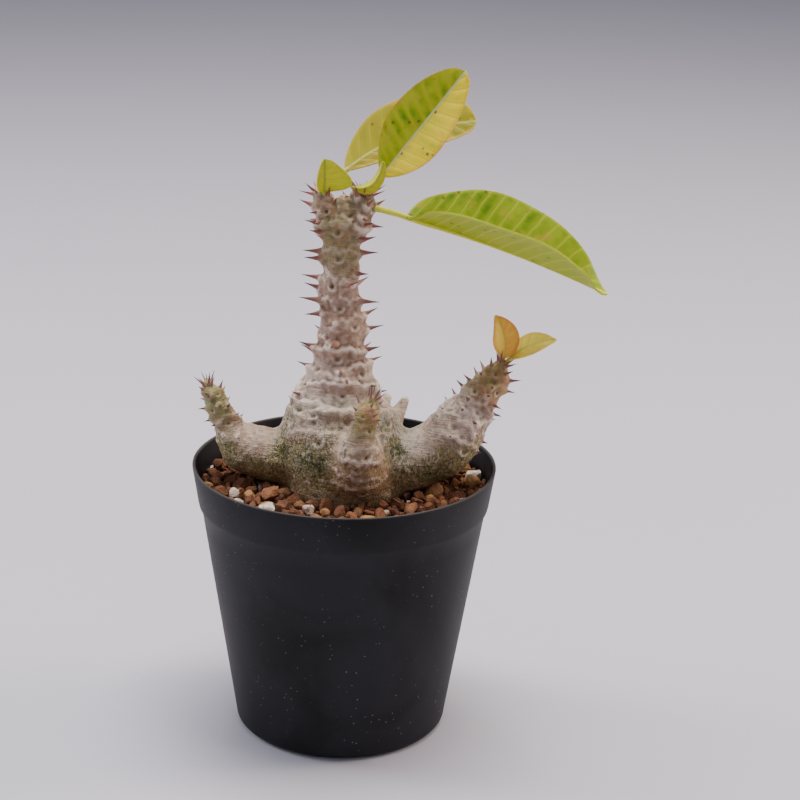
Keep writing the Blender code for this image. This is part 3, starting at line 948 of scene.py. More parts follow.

# %% [markdown]
# The colours depend on age, and on painted light.  Every point is given to the limb whose line is
# nearest, measured in that limb's radii, and from its distance to the tip, its height and which way
# it faces follow how young or old the skin is there, where it is painted paler as a painted
# highlight on faces turned up, and where it is painted olive as painted shade on faces turned down.

# %% Keep what the colours need
points = points_of(body)
axis_points = np.array([place for line in lines.values() for place, _ in line])
axis_radii = np.array([radius for line in lines.values() for _, radius in line])
axis_limb = np.concatenate([[i] * len(line) for i, line in enumerate(lines.values())])
to_tip = np.concatenate([np.arange(len(line))[::-1] for line in lines.values()])
best = np.full(len(points), np.inf)
nearest = np.zeros(len(points), int)
for i, (place, radius) in enumerate(zip(axis_points, axis_radii)):
    distance = np.linalg.norm(points - place, axis=1) / radius
    closer = distance < best
    best[closer], nearest[closer] = distance[closer], i
limb_names = list(lines)
limb_at = np.array(limb_names)[axis_limb[nearest]]
tip_at = to_tip[nearest] * LINE_STEP  # mm from the limb's tip, roughly
height_at = (points[:, 2] - BED) / MM
young = np.zeros(len(points))
for limb, reach, strength in (
    ("left", 18, 0.9),
    ("right", 17, 0.95),
    ("front", 17, 0.95),
    ("crown_left", 8, 0.4),
    ("crown_right", 9, 0.4),
    ("stem", 20, 0.7),
):
    young += (limb_at == limb) * strength * ramp(tip_at, reach, reach * 0.45)
normals = normals_of(body)
faces_down = ramp(normals[:, 2], 0.6, -0.1)
# old skin is olive low down; facing down adds to it, which is painted shade on the undersides
old_and_underside_shade = np.where(
    limb_at == "stem",
    ramp(height_at, 38, 15) * (0.6 + 0.4 * faces_down),
    ramp(height_at, 27, 7) * (0.35 + 0.65 * faces_down),
)
# painted highlight: skin below 44 mm that faces up is painted paler, as if lit from above
top_highlight = ramp(height_at, 44, 30) * ramp(normals[:, 2], -0.15, 0.45) * (1 - np.minimum(1, young))
for limb, share in (("left", 0.3), ("front", 0.45)):
    top_highlight *= np.where(limb_at == limb, share, 1.0)
knob = np.maximum((limb_at == "front") * ramp(tip_at, 14, 19), 0.7 * ramp(height_at, 8, 1))
crown = (limb_at == "crown_right") * ramp(tip_at, 9, 3)
crown = np.maximum(crown, (limb_at == "stub_tall") * ramp(tip_at, 4, 1))
keep_numbers(body, "ridge_highlight", ridge_highlight)
keep_numbers(body, "scar", scar)
keep_numbers(body, "young", spread(young, 60))
keep_numbers(body, "old_and_underside_shade", spread(old_and_underside_shade, 90))
keep_numbers(body, "top_highlight", spread(top_highlight, 30))
keep_numbers(body, "crown", spread(crown, 40))
keep_numbers(body, "knob", spread(knob, 60))
print("young skin", round(float(young.mean()), 3), "old skin", round(float(old_and_underside_shade.mean()), 3))

# %% [markdown]
# Bark of a succulent is a thin corky skin.  On the stem it is smooth and pinkish grey with
# hair-fine wrinkles round it, and painted paler where it faces up, as painted highlight.  Low down
# it is olive, where green tissue shows through, and more so where it faces down, as painted shade;
# it is covered by short upright ripples and pale specks of cork.  Young ends are green.  Ridges are
# painted pale, as painted highlight, and the hollows under them are painted darker, as painted
# shade.

# %% [markdown]
# The finish is put together from six short recipes.  The first is the pinkish grey cork of the
# stem, made by plants as dead cells full of air.  Where it faces up it is painted paler, as a
# painted highlight of the light from above, and fine dark lines show where it has begun to split.

# %% Cork of the stem
CORK = (
    ("light", "range", "small", 0.35, 0.68),
    ("skin", "mix", "light", "#a17c66", "#c8a893"),
    ("brown", "range", "blotch", 0.42, 0.66, 0.0, 0.6),
    ("skin", "mix", "brown", "skin", "#78604a"),
    # painted highlight: the skin turned up is painted paler, broken into patches
    ("uneven", "range", "blotch", 0.62, 0.4, 0.35, 1.0),
    ("patchy_top_highlight", "multiply", "top_highlight", "uneven"),
    ("broken", "range", "small", 0.3, 0.55, 0.5, 1.0),
    ("share", "multiply", "patchy_top_highlight", "broken"),
    ("skin", "mix", "share", "skin", "#f4e4d8"),
    ("lines", "range", "ripple", 0.48, 0.6, 0.0, 0.5),
    ("share", "multiply", "patchy_top_highlight", "lines"),
    ("skin", "mix", "share", "skin", "#77705a"),
)
print(len(CORK), "steps")

# %% [markdown]
# Low down the cork has split open.  Green tissue shows between upright ripples of it, with
# patches of rust and, near the bed and on the front branch, a knobbly brown.

# %% Olive skin of the caudex
OLIVE = (
    ("light", "range", "small", 0.4, 0.62),
    ("olive", "mix", "light", "#545826", "#968949"),
    ("brown", "range", "blotch", 0.5, 0.68, 0.0, 0.6),
    ("olive", "mix", "brown", "olive", "#80593f"),
    ("share", "multiply", "knob", 0.75),
    ("olive", "mix", "share", "olive", "#c4937a"),
    # painted highlight: the ripples' crests are painted paler where the skin faces up
    ("crest", "mix", "top_highlight", "#bba676", "#f0e2d6"),
    ("lines", "range", "ripple", 0.42, 0.62, 0.0, 0.85),
    ("olive", "mix", "lines", "olive", "crest"),
    ("broken", "range", "small", 0.52, 0.66, 0.0, 0.7),
    ("patch", "range", "blotch", 0.42, 0.52),
    ("rust", "multiply", "broken", "patch"),
    ("olive", "mix", "rust", "olive", "#6e4a30"),
    ("patch", "range", "blotch", 0.46, 0.36),
    ("broken", "range", "small", 0.6, 0.45, 0.3, 0.8),
    ("dark_green", "multiply", "patch", "broken"),
    ("olive", "mix", "dark_green", "olive", "#39460e"),
)
print(len(OLIVE), "steps")

# %% [markdown]
# A number says how far the skin has aged; it also grows where the skin faces down, as painted
# shade on the undersides.  Noise is added to it, so that the limit between grey and olive wanders.
# Freckles of cork of half a millimetre lie on the old skin.

# %% Where the skin is old, and the painted shade of the undersides
AGED_AND_SHADED = (
    ("broken", "range", "small", 0.3, 0.7, -0.18, 0.22),
    ("patch", "range", "blotch", 0.3, 0.7, 0.25, -0.25),
    # painted shade: the olive share is larger on skin that faces down
    ("aged_and_shaded", "add", "old_and_underside_shade", "broken"),
    ("aged_and_shaded", "add", "aged_and_shaded", "patch"),
    ("share", "range", "aged_and_shaded", 0.2, 0.7),
    ("colour", "mix", "share", "skin", "olive"),
    ("fleck", "range", "specks", 0.26, 0.12),
    ("share", "range", "old_and_underside_shade", 0.1, 0.7, 0.05, 0.85),
    ("share", "multiply", "fleck", "share"),
    ("colour", "mix", "share", "colour", "#dccfae"),
)
print(len(AGED_AND_SHADED), "steps")

# %% [markdown]
# At the young ends the skin is still alive and green, with a brown blush in places.

# %% Young ends
YOUNG = (
    ("light", "range", "small", 0.4, 0.7),
    ("green", "mix", "light", "#46600f", "#8e9236"),
    ("brown", "range", "blotch", 0.46, 0.66, 0.0, 0.75),
    ("green", "mix", "brown", "green", "#b0743c"),
    ("broken", "range", "small", 0.3, 0.65, 0.6, 1.0),
    ("share", "multiply", "young", "broken"),
    ("colour", "mix", "share", "colour", "green"),
)
print(len(YOUNG), "steps")

# %% [markdown]
# Ridges and convex edges are painted pale, as painted highlight, leaf scars are a little lighter
# than what surrounds them, the crown's dry ends are brown, and hollows are painted dark, as
# painted shade.  Pointiness is high on a convex edge and low in a hollow.

# %% Ridges, scars and hollows
MARKS = (
    # painted highlight: the cushions' upper edges are painted pale
    ("share", "multiply", "ridge_highlight", 0.5),
    ("colour", "mix", "share", "colour", "#d3b09a"),
    ("share", "multiply", "scar", 0.5),
    ("colour", "mix", "share", "colour", "#c5ad90"),
    ("share", "multiply", "crown", 0.65),
    ("colour", "mix", "share", "colour", "#4c3d26"),
    # painted shade: hollows, where pointiness is low, are painted dark
    ("share", "range", "deep", 0.495, 0.45, 0.0, 0.85),
    ("colour", "mix", "share", "colour", "#3a2a1c"),
    ("firm", "subtract", 1.0, "young"),
    # painted highlight: convex edges, where pointiness is high, are painted pale, on firm skin only
    ("high", "range", "deep", 0.505, 0.545, 0.0, 0.75),
    ("share", "multiply", "high", "firm"),
    ("Base Color", "mix", "share", "colour", "#ecdccf"),
)
print(len(MARKS), "steps")

# %% [markdown]
# The same patterns raise the surface, so that colour and relief agree: upright ripples where the
# skin is old, wrinkles round the stem, small grains, and the flecks of cork.

# %% Relief of the bark
RELIEF = (
    ("upright", "multiply", "ripple", "old_and_underside_shade"),
    ("upright", "multiply", "upright", 1.6),
    ("round_it", "multiply", "wrinkle", 0.55),
    ("relief", "add", "upright", "round_it"),
    ("grains", "multiply", "small", 0.35),
    ("relief", "add", "relief", "grains"),
    ("flecks", "multiply", "fleck", 0.25),
    ("relief", "add", "relief", "flecks"),
    ("Normal", "bump", "relief", 0.95, 0.85 * MM),
    ("Roughness", "range", "small", 0.3, 0.7, 0.6, 0.4),
)
print(len(RELIEF), "steps")

# %% [markdown]
# The patterns are noise on the object's own coordinates, stretched so that the wrinkles lie round
# the stem and the ripples stand upright.  Their sizes are those of the real skin in millimetres.


# %% Bark finish
def skin_finish():
    marks = ("ridge_highlight", "scar", "young", "old_and_underside_shade", "top_highlight", "crown", "knob")
    made, shader, value = new_material("corky_succulent_bark", *marks)
    value["deep"] = node(made.node_tree, "ShaderNodeNewGeometry").outputs["Pointiness"]
    for name, step, size, *settings in (  # size in mm: across, in depth and upwards
        ("blotch", "noise", (9, 9, 7), 4.0),
        ("small", "noise", (2.2, 2.2, 1.6), 4.0),
        ("wrinkle", "noise", (6.0, 6.0, 0.5), 3.0, 0.4),  # lies round the stem
        ("ripple", "noise", (0.75, 0.75, 1.5), 2.5, 1.0),  # stands upright on the caudex
        ("specks", "cells", (1.0, 1.0, 1.1)),
    ):
        scale = Vector([1 / side for side in size]) / MM
        follow(
            made,
            value,
            ("stretched", "stretch", "place", scale),
            (name, step, "stretched", 1.0, *settings),
        )
    follow(made, value, *CORK, *OLIVE, *AGED_AND_SHADED, *YOUNG, *MARKS, *RELIEF)
    connect(made, shader, value, "Base Color", "Roughness", "Normal")
    shader.inputs["Subsurface Weight"].default_value = 0.06
    shader.inputs["Subsurface Radius"].default_value = (0.8 * MM, 0.5 * MM, 0.3 * MM)
    shader.inputs["Subsurface Scale"].default_value = 1.0
    shader.inputs["IOR"].default_value = 1.45
    return made


hand_over(body, skin_finish(), "bark", "caudex_stem", smooth=80)

# %% [markdown]
# One spine is modelled: a ring drawn out in steps, each narrower than the last, to a fine point
# that bends up a little.  It is then copied to both ends of every cushion, each copy with its own
# mesh, turned and sized, and all of them are joined.

# %% One spine
SPINE_RINGS = [(0.12, 0.82), (0.28, 0.58), (0.48, 0.38), (0.68, 0.22), (0.86, 0.11), (1.0, 0.03)]
SPINE_FOOT = 1.1  # mm, radius of the foot of a spine 1 mm long, which is stretched later
SPINE_BEND = 0.09  # mm, how far the tip is off the middle
start_clean()
bpy.ops.mesh.primitive_circle_add(vertices=8, radius=SPINE_FOOT * MM, fill_type="NGON")
spine = bpy.context.object
bpy.ops.object.mode_set(mode="EDIT")
bpy.ops.mesh.select_all(action="SELECT")
radius, height, bend = SPINE_FOOT, 0.0, 0.0
for rise, wide in SPINE_RINGS:
    shift = SPINE_BEND * rise**2
    bpy.ops.mesh.extrude_region_move(
        TRANSFORM_OT_translate={"value": ((shift - bend) * MM, 0, (rise - height) * MM)}
    )
    scale = SPINE_FOOT * wide / radius
    bpy.ops.transform.resize(value=(scale, scale, 1), center_override=(shift * MM, 0, rise * MM))
    radius, height, bend = SPINE_FOOT * wide, rise, shift
bpy.ops.object.mode_set(mode="OBJECT")
outwards(spine)
keep_numbers(spine, "rise", points_of(spine)[:, 2] / MM)
print("one spine", len(spine.data.polygons), "faces")

# %% [markdown]
# Every cushion gets two copies of the spine, one at each end, and each tip gets a tuft of short
# ones that fans out.  Their directions and lengths vary a little, from a seeded source of chance,
# so that the plant is the same each time.

# %% A spine at both ends of every cushion
chance = random.Random(11)
spines = []


def plant_spine(foot, aim_at, up, length, wide):
    """A copy of the spine with its foot in place, its bend turned up along the limb."""
    sideways = up.cross(aim_at).normalized()
    upward = aim_at.cross(sideways).normalized()
    turned_to = Matrix((upward, aim_at.cross(upward), aim_at)).transposed().to_4x4()
    copy = spine.copy()
    copy.data = spine.data.copy()
    bpy.context.collection.objects.link(copy)
    sizes = Matrix.Diagonal((wide, wide, length, 1.0))
    copy.data.transform(Matrix.Translation(foot) @ turned_to @ sizes)
    spines.append(copy)


for cushion in cushions:
    for part in (-1, 1) if cushion.length else ():
        out = cushion.direction(cushion.turn + part * cushion.splay + chance.uniform(-7, 7))
        length = cushion.length * chance.uniform(1.0, 1.3)
        aim_at = (out + cushion.up * (cushion.rise + chance.uniform(-0.08, 0.2))).normalized()
        foot = cushion.centre + out * (cushion.radius + 0.1 * MM) - cushion.up * 0.9 * MM
        plant_spine(foot, aim_at, cushion.up, length, min(1.25, 0.42 + 0.14 * length))
for limb, count, tilt, length in tufts:
    (before, _), (tip, tip_radius) = lines[limb][-3], lines[limb][-1]
    up = (tip - before).normalized()
    side = Vector((0, 1, 0)).cross(up).normalized()
    ahead = side.cross(up).normalized()
    for i in range(count):
        turn = math.radians(i * GOLDEN_ANGLE + chance.uniform(-12, 12))
        lean = math.radians(tilt * (0.55 + 0.75 * (i + 0.5) / count) + chance.uniform(-5, 5))
        out = side * math.cos(turn) + ahead * math.sin(turn)
        aim_at = up * math.cos(lean) + out * math.sin(lean)
        foot = tip + out * tip_radius * (0.35 + 0.5 * i / count) - up * 0.3 * MM
        plant_spine(foot, aim_at, -out, length * chance.uniform(0.75, 1.15), 0.6)
bpy.data.objects.remove(spine)
spines = join(spines, "spines")
print(sum(2 for cushion in cushions if cushion.length), "spines")

# %% [markdown]
# A spine is horn: hard, slightly glossy and grown from its foot, so its colour runs along it.
# The spines of this year's growth, higher up, are redder than the weathered ones below.


# %% Spine finish
def spine_finish():
    """Horny spines: fleshy and pinkish at the foot, then red-brown, then dark grey at the tip."""
    made, shader, value = new_material("horny_spine", "rise")
    follow(
        made,
        value,
        ("height", "height", "place"),
        ("fresh", "range", "height", HEIGHT + 45 * MM, HEIGHT + 85 * MM, 0.15, 0.8),
        ("middle", "mix", "fresh", "#886056", "#9a4432"),
        ("low", "range", "rise", 0.08, 0.4),
        ("colour", "mix", "low", "#b48e78", "middle"),
        ("high", "range", "rise", 0.5, 0.85),
        ("Base Color", "mix", "high", "colour", "#463a3c"),
        ("uneven", "noise", "place", 1 / (4 * MM)),
        ("Normal", "bump", "uneven", 0.3, 0.3 * MM),
    )
    connect(made, shader, value, "Base Color", "Normal")
    shader.inputs["Roughness"].default_value = 0.45
    return made


hand_over(spines, spine_finish(), "bark", smooth=60)

# %% [markdown]
# ## Leaves
#
# A leaf is a thin sheet on a midrib.  It starts as a flat grid; its points are then placed by a
# rule that says how wide the blade is along its length, how far its halves fold up from the
# midrib, and how its side veins pucker it.  Solidify gives it its half a millimetre, and a
# tapering tube along the middle is its stalk and midrib.  Three numbers are kept on each point:
# how far along the leaf it is, how far across, and how wide the blade is there.


# %% Leaf builder
STALK = 0.95  # mm, radius of a large leaf's stalk
RIB_PARTS = 24  # steps of the tube that is stalk and midrib
MERGE_LEAF = 0.01 * MM


def midline(line, facing, share):
    """A leaf's middle at a share of its length, and which way its side and its top point."""
    base, bend, tip = line
    middle = base * (1 - share) ** 2 + bend * 2 * share * (1 - share) + tip * share**2
    ahead = ((bend - base) * (1 - share) + (tip - bend) * share).normalized()
    side = ahead.cross(facing).normalized()
    return middle, side, side.cross(ahead).normalized()


def stalk_and_rib(name, line, facing, width, stalk):
    """The tapering tube that is a leaf's stalk and, sunk into the blade, its midrib."""
    points = []
    for i in range(RIB_PARTS + 1):
        s = 0.985 * i / RIB_PARTS
        middle, _, normal = midline(line, facing, s)
        thinning = 1 - 0.75 * ramp(np.array(s), 0.02, 0.9) ** 0.6
        thick = STALK * min(1.0, width / 8) ** 0.6 * thinning
        sunk = (thick - 0.12) * min(1.0, max(0.0, s - stalk * 0.7) * 8)
        points.append((middle - normal * sunk * MM, float(thick) * MM))
    rib = tube(name + "_rib", points, 10)
    rib_points = points_of(rib)
    centres = np.array([place for place, _ in points])
    gap = np.linalg.norm(rib_points[:, None, :] - centres[None, :, :], axis=2)
    keep_numbers(rib, "along", gap.argmin(axis=1) / RIB_PARTS)
    keep_numbers(rib, "across", np.zeros(len(rib_points)))
    keep_numbers(rib, "half", np.full(len(rib_points), 9.0))
    return rib


# %% [markdown]
# The blade is placed point by point: s runs from the foot to the tip and t from the left edge to
# the right one.  A sine, stretched by fullness and rounded by blunt, gives its width.


# %% Blade
def leaf(name, line, facing, finishes, width, fold, stalk, fullness, veins, blunt, **more):
    """blunt is how pointed the blade's foot and tip are: 1 is pointed, less is rounder.

    The first of the two finishes is for the upper side.
    """
    ripple, grid = more.get("ripple", 0.0), more.get("grid", (56, 20))
    halves = more.get("halves", (1.0, 1.0))
    start_clean()
    bpy.ops.mesh.primitive_grid_add(x_subdivisions=grid[0], y_subdivisions=grid[1], size=2)
    blade = bpy.context.object
    blade.name = blade.data.name = name
    flat = points_of(blade)
    along, across = (flat[:, 0] + 1) / 2, flat[:, 1]
    placed = np.empty_like(flat)
    half = np.empty(len(flat))
    for i, (s, t) in enumerate(zip(along, across)):
        middle, side, normal = midline(line, facing, s)
        blade_share = max(0.0, (s - stalk) / (1 - stalk))
        power = blunt[0] + (blunt[1] - blunt[0]) * blade_share
        wide = width * max(0.0, math.sin(math.pi * blade_share**fullness)) ** power
        wide = max(wide * halves[t > 0], 0.25)  # hidden in the stalk where there is no blade
        opening = math.radians(fold) * min(1.0, wide / (width * 0.5))
        t_out = abs(t)
        lift_by = t_out * wide * math.sin(opening) * (1 - 0.15 * t_out)
        phase = (s * veins - t_out * 1.1) * 2 * math.pi
        lift_by += 0.13 * math.cos(phase) * t_out * (1 - t_out) * 4 * min(1.0, wide / 5)
        edge_wave = math.sin(s * 17 + (2.0 if t > 0 else 0.0)) * t_out**2
        lift_by += ripple * edge_wave * min(1.0, wide / 5)
        reach = t * wide * math.cos(opening)
        placed[i] = middle + side * reach * MM + normal * lift_by * MM
        half[i] = wide
    move_points(blade, placed)
    keep_numbers(blade, "along", along)
    keep_numbers(blade, "across", across)
    keep_numbers(blade, "half", half)
    outwards(blade, merge=MERGE_LEAF)
    faces_up = sum(face.normal.dot(facing) * face.area for face in blade.data.polygons)
    if faces_up < 0:
        blade.data.flip_normals()
    for finish in finishes:
        blade.data.materials.append(finish)
    rib = stalk_and_rib(name, line, facing, width, stalk)
    rib.data.materials.append(finishes[0])
    apply_modifier(
        blade, "SOLIDIFY", thickness=0.5 * MM, offset=0.0, use_even_offset=False, material_offset=1
    )
    return join([blade, rib], name)


# %% [markdown]
# Leaf skin is waxy over pale sponge.  The blade is green where it is fresh and turns yellow and
# then orange where it ages, patch by patch between the side veins, and brown dots are old
# damage.  The midrib and the edge stay pale.  The patterns are drawn from the numbers kept on
# the blade, so the veins run from the midrib forward to the edge whatever way the leaf is bent.


# %% Leaf finish
def leaf_finish(name, veins, left, right, vein, edge, spots, slant=1.1, rib="#d5dc9a"):
    """left and right each give the colour between the veins, its patches, and their amount."""
    made, shader, value = new_material(name, "along", "across", "half")
    follow(
        made,
        value,
        ("wobble", "noise", "place", 1 / (4 * MM), 3.0),
        ("patches", "noise", "place", 1 / (6.5 * MM), 3.0),
        # side veins: gap is 0 on a vein and a half between two
        ("out", "absolute", "across"),
        ("cycles", "multiply", "along", veins),
        ("slanted", "multiply", "out", slant),
        ("phase", "subtract", "cycles", "slanted"),
        ("waver", "multiply", "wobble", 0.28),
        ("phase", "add", "phase", "waver"),
        ("cycle", "fract", "phase"),
        ("from_middle", "subtract", "cycle", 0.5),
        ("gap", "absolute", "from_middle"),
        ("on_vein", "range", "gap", 0.13, 0.03),
        # patches between the veins, on each half of the blade
        ("between", "range", "gap", 0.0, 0.4),
        ("broad", "range", "patches", 0.34, 0.62),
        ("patchy", "multiply", "between", "broad"),
        ("broken", "range", "wobble", 0.35, 0.6, 0.45, 1.0),
        ("patchy", "multiply", "patchy", "broken"),
        ("share", "multiply", "patchy", left[2]),
        ("left", "mix", "share", left[0], left[1]),
        ("share", "multiply", "patchy", right[2]),
        ("right", "mix", "share", right[0], right[1]),
        ("side", "range", "across", -0.06, 0.06),
        ("colour", "mix", "side", "left", "right"),
        ("share", "multiply", "on_vein", vein[1]),
        ("colour", "mix", "share", "colour", vein[0]),
        # a brown blush, a pale frayed edge, dots of old damage, and the midrib
        ("small", "range", "wobble", 0.56, 0.68),
        ("broad", "range", "patches", 0.52, 0.42),
        ("blush", "multiply", "small", "broad"),
        ("blush", "multiply", "blush", spots * 0.5),
        ("colour", "mix", "blush", "colour", "#c08a48"),
        ("inwards", "subtract", 1.0, "out"),
        ("to_edge", "multiply", "inwards", "half"),
        ("fray", "multiply", "wobble", 1.4),
        ("frayed", "subtract", "to_edge", "fray"),
        ("share", "range", "frayed", 0.5, -0.5, 0.0, edge[1]),
        ("colour", "mix", "share", "colour", edge[0]),
        ("dots", "cells", "place", 1 / (3.4 * MM)),
        ("small", "range", "dots", 0.2, 0.1),
        ("broad", "range", "patches", 0.44, 0.52),
        ("dot", "multiply", "small", "broad"),
        ("dot", "multiply", "dot", spots),
        ("colour", "mix", "dot", "colour", "#7a4f2a"),
        ("to_rib", "multiply", "out", "half"),
        ("share", "range", "to_rib", 0.5, 0.2),
        ("Base Color", "mix", "share", "colour", rib),
        ("sunk", "multiply", "on_vein", -0.6),
        ("pucker", "multiply", "wobble", 0.6),
        ("relief", "add", "sunk", "pucker"),
        ("Normal", "bump", "relief", 0.5, 0.25 * MM),
    )
    connect(made, shader, value, "Base Color", "Normal")
    shader.inputs["Roughness"].default_value = 0.5
    shader.inputs["Specular IOR Level"].default_value = 0.18
    shader.inputs["Subsurface Weight"].default_value = 0.2
    shader.inputs["Subsurface Radius"].default_value = (1.5 * MM, 2.0 * MM, 0.4 * MM)
    shader.inputs["Subsurface Scale"].default_value = 1.0
    return made


# %% [markdown]
# The leaves stand at the tips: on the two crowns over the fork and on the right branch.  Their
# lines are given in millimetres from the tip that they grow on.


# %% Where leaves start
left_tip = Vector((-8.0, 0, 0)) * MM + Vector((0, 0, FORK + 9.6 * MM))
right_tip = Vector((4.3, 0, 0)) * MM + Vector((0, 0, FORK + 9.6 * MM))
branch_tip = Vector((45.7, -1.5, 0)) * MM + Vector((0, 0, BED + 40.6 * MM))


def by(start, x, y, z):
    return start + Vector((x, y, z)) * MM


print("crown tips", round(left_tip.z / MM, 1), "and", round(right_tip.z / MM, 1), "mm up")

# %% [markdown]
# The largest leaf is mature and fully green.  It leaves the right crown on a long stalk, arches
# over and hangs down, with its halves folded up from the midrib like the sides of a gutter.

# %% Large leaf to the right
start = Vector((8.3 * MM, 0, FORK + 3.5 * MM))
upper = leaf_finish(
    "waxy_leaf_green",
    18,
    ("#8fa012", "#4c7403", 1.0),
    ("#8f9e12", "#4c7403", 1.0),
    ("#a9b030", 0.5),
    ("#b5bb34", 0.6),
    0.8,
    rib="#e0e250",
)
under = leaf_finish(
    "matt_leaf_underside",
    18,
    ("#a3ad1c", "#8c9c10", 0.7),
    ("#a3ad1c", "#8c9c10", 0.7),
    ("#bbb944", 0.5),
    ("#c3c344", 0.8),
    0.7,
    rib="#d6d84c",
)
leaf_right = leaf(
    "leaf_right",
    (by(start, -1.5, 0, 0.3), by(start, 27.5, -2.0, -5.5), by(start, 66.5, 0.0, -23.5)),
    Vector((0.30, -0.24, 0.93)),
    (upper, under),
    width=17,
    fold=53,
    stalk=0.165,
    fullness=1.0,
    veins=18,
    blunt=(0.5, 0.8),
    ripple=0.35,
)
hand_over(leaf_right, None, "leaf_green", "leaf_right_large", smooth=60)

# %% [markdown]
# The front leaf at the top turns its upper face to the viewer.  Its left half is still green and
# the right one has gone yellow.

# %% Front leaf at the top
upper = leaf_finish(
    "waxy_leaf_turning",
    13,
    ("#b6ba20", "#5a8a0c", 1.0),
    ("#e2c800", "#b4b400", 0.8),
    ("#bcb41c", 0.45),
    ("#c98a3c", 0.4),
    0.95,
    rib="#ccd68c",
)
under = leaf_finish(
    "matt_leaf_turning_underside",
    13,
    ("#a89f22", "#96941c", 0.6),
    ("#a89f22", "#96941c", 0.6),
    ("#b5ad3a", 0.5),
    ("#b8903c", 0.6),
    0.6,
    rib="#b9b94c",
)
leaf_front = leaf(
    "leaf_front",
    (
        by(right_tip, 1.2, 0.6, -1.2),
        by(right_tip, 11.8, -1.5, 12.5),
        by(right_tip, 27.4, -6.0, 34.6),
    ),
    Vector((-0.35, -0.85, 0.3)),
    (upper, under),
    width=9.9,
    fold=18,
    stalk=0.16,
    fullness=1.08,
    veins=13,
    blunt=(0.7, 0.48),
    ripple=0.25,
)
hand_over(leaf_front, None, "leaf_green", "leaf_top_front", smooth=60)

# %% [markdown]
# The leaf behind it is paler, olive and yellow, and one of its halves is narrower.

# %% Back leaf at the top
upper = leaf_finish(
    "waxy_leaf_olive_yellow",
    12,
    ("#aca22c", "#9a962a", 0.7),
    ("#8c840c", "#7a800a", 0.7),
    ("#b5ad30", 0.25),
    ("#d8b44c", 0.6),
    0.8,
    rib="#c0c468",
)
leaf_back = leaf(
    "leaf_back",
    (by(left_tip, 1.0, 1.8, -1.2), by(left_tip, 17.0, 12.5, 14.5), by(left_tip, 43.8, 14.0, 17.0)),
    Vector((-0.30, -0.80, 0.50)),
    (upper, under),
    width=11.0,
    fold=14,
    stalk=0.16,
    fullness=1.15,
    veins=12,
    blunt=(0.7, 0.42),
    ripple=0.2,
    halves=(1.0, 0.62),
)
hand_over(leaf_back, None, "leaf_yellow_green", "leaf_top_back", smooth=60)

# %% [markdown]
# Two young leaves are just opening on the crowns.  The left one is a short shovel seen nearly
# flat, and the right one is still rolled and curves up like a horn.

# %% Young leaves on the crowns
young_upper = leaf_finish(
    "tender_leaf",
    7,
    ("#d4cc1c", "#b0b414", 0.7),
    ("#d0cc1c", "#b0b414", 0.7),
    ("#cccc40", 0.3),
    ("#b8ac3c", 0.5),
    0.15,
    rib="#a9b53c",
)
leaf_young_left = leaf(
    "leaf_young_left",
    (by(left_tip, 1.0, -1.2, -2.6), by(left_tip, 0.9, -3.4, 2.6), by(left_tip, 1.1, -4.4, 8.8)),
    Vector((0.30, -0.85, 0.40)),
    (young_upper, young_upper),
    width=8.2,
    fold=26,
    stalk=0.14,
    fullness=0.62,
    veins=7,
    blunt=(0.8, 0.55),
    grid=(30, 12),
    halves=(0.3, 1.0),
)
hand_over(leaf_young_left, None, "leaf_yellow_green", "leaf_young_left", smooth=60)
leaf_young_right = leaf(
    "leaf_young_right",
    (by(right_tip, -3.4, -2.6, 0.5), by(right_tip, 3.7, -4.2, -1.0), by(right_tip, 5.3, -4.0, 8.4)),
    Vector((-0.3, -0.8, 0.5)),
    (young_upper, young_upper),
    width=2.3,
    fold=-38,
    stalk=0.02,
    fullness=1.0,
    veins=6,
    blunt=(0.7, 0.5),
    grid=(30, 12),
)
hand_over(leaf_young_right, None, "leaf_yellow_green", "leaf_young_right", smooth=60)

# %% [markdown]
# On the right branch an orange leaf stands up and a yellow one lies nearly level.

# %% Young leaves on the right branch
orange_upper = leaf_finish(
    "tender_leaf_orange",
    7,
    ("#f8d254", "#f4b648", 0.6),
    ("#f4ba48", "#e88c3c", 0.8),
    ("#f2cf60", 0.3),
    ("#e2843c", 0.6),
    0.2,
    rib="#e0b84c",
)
yellow_upper = leaf_finish(
    "tender_leaf_yellow",
    7,
    ("#f4dc5c", "#ead04c", 0.5),
    ("#f4dc5c", "#ead04c", 0.5),
    ("#f4e27c", 0.3),
    ("#e6b44c", 0.5),
    0.15,
    rib="#e0cc58",
)
leaf_upright = leaf(
    "leaf_branch_upright",
    (
        by(branch_tip, -0.4, 0, -1.0),
        by(branch_tip, 1.9, -0.4, 6.0),
        by(branch_tip, -3.0, -1.0, 13.5),
    ),
    Vector((0.25, -0.85, 0.40)),
    (orange_upper, yellow_upper),
    width=4.4,
    fold=20,
    stalk=0.1,
    fullness=0.95,
    veins=7,
    blunt=(0.7, 0.8),
    grid=(30, 12),
)
hand_over(leaf_upright, None, "leaf_orange", "leaf_branch_upright", smooth=60)
leaf_level = leaf(
    "leaf_branch_level",
    (
        by(branch_tip, 1.0, -0.2, -0.6),
        by(branch_tip, 6.5, -0.8, 5.5),
        by(branch_tip, 15.0, -1.0, 6.6),
    ),
    Vector((-0.35, -0.55, 0.75)),
    (yellow_upper, yellow_upper),
    width=4.0,
    fold=18,
    stalk=0.1,
    fullness=0.95,
    veins=7,
    blunt=(0.6, 0.9),
    grid=(30, 12),
)
hand_over(leaf_level, None, "leaf_yellow_green", "leaf_branch_level", smooth=60)

# %% [markdown]
# ## The bed
#
# The medium is a mix: brown fired clay, white pumice and a few rounder tan pebbles, from one to
# eight millimetres.  A lumpy body fills the pot below, painted nearly black as the shade between
# the stones.  On it lie hundreds of small stones, copied from a few rough shapes, and between them
# the larger stones, each modelled for itself.

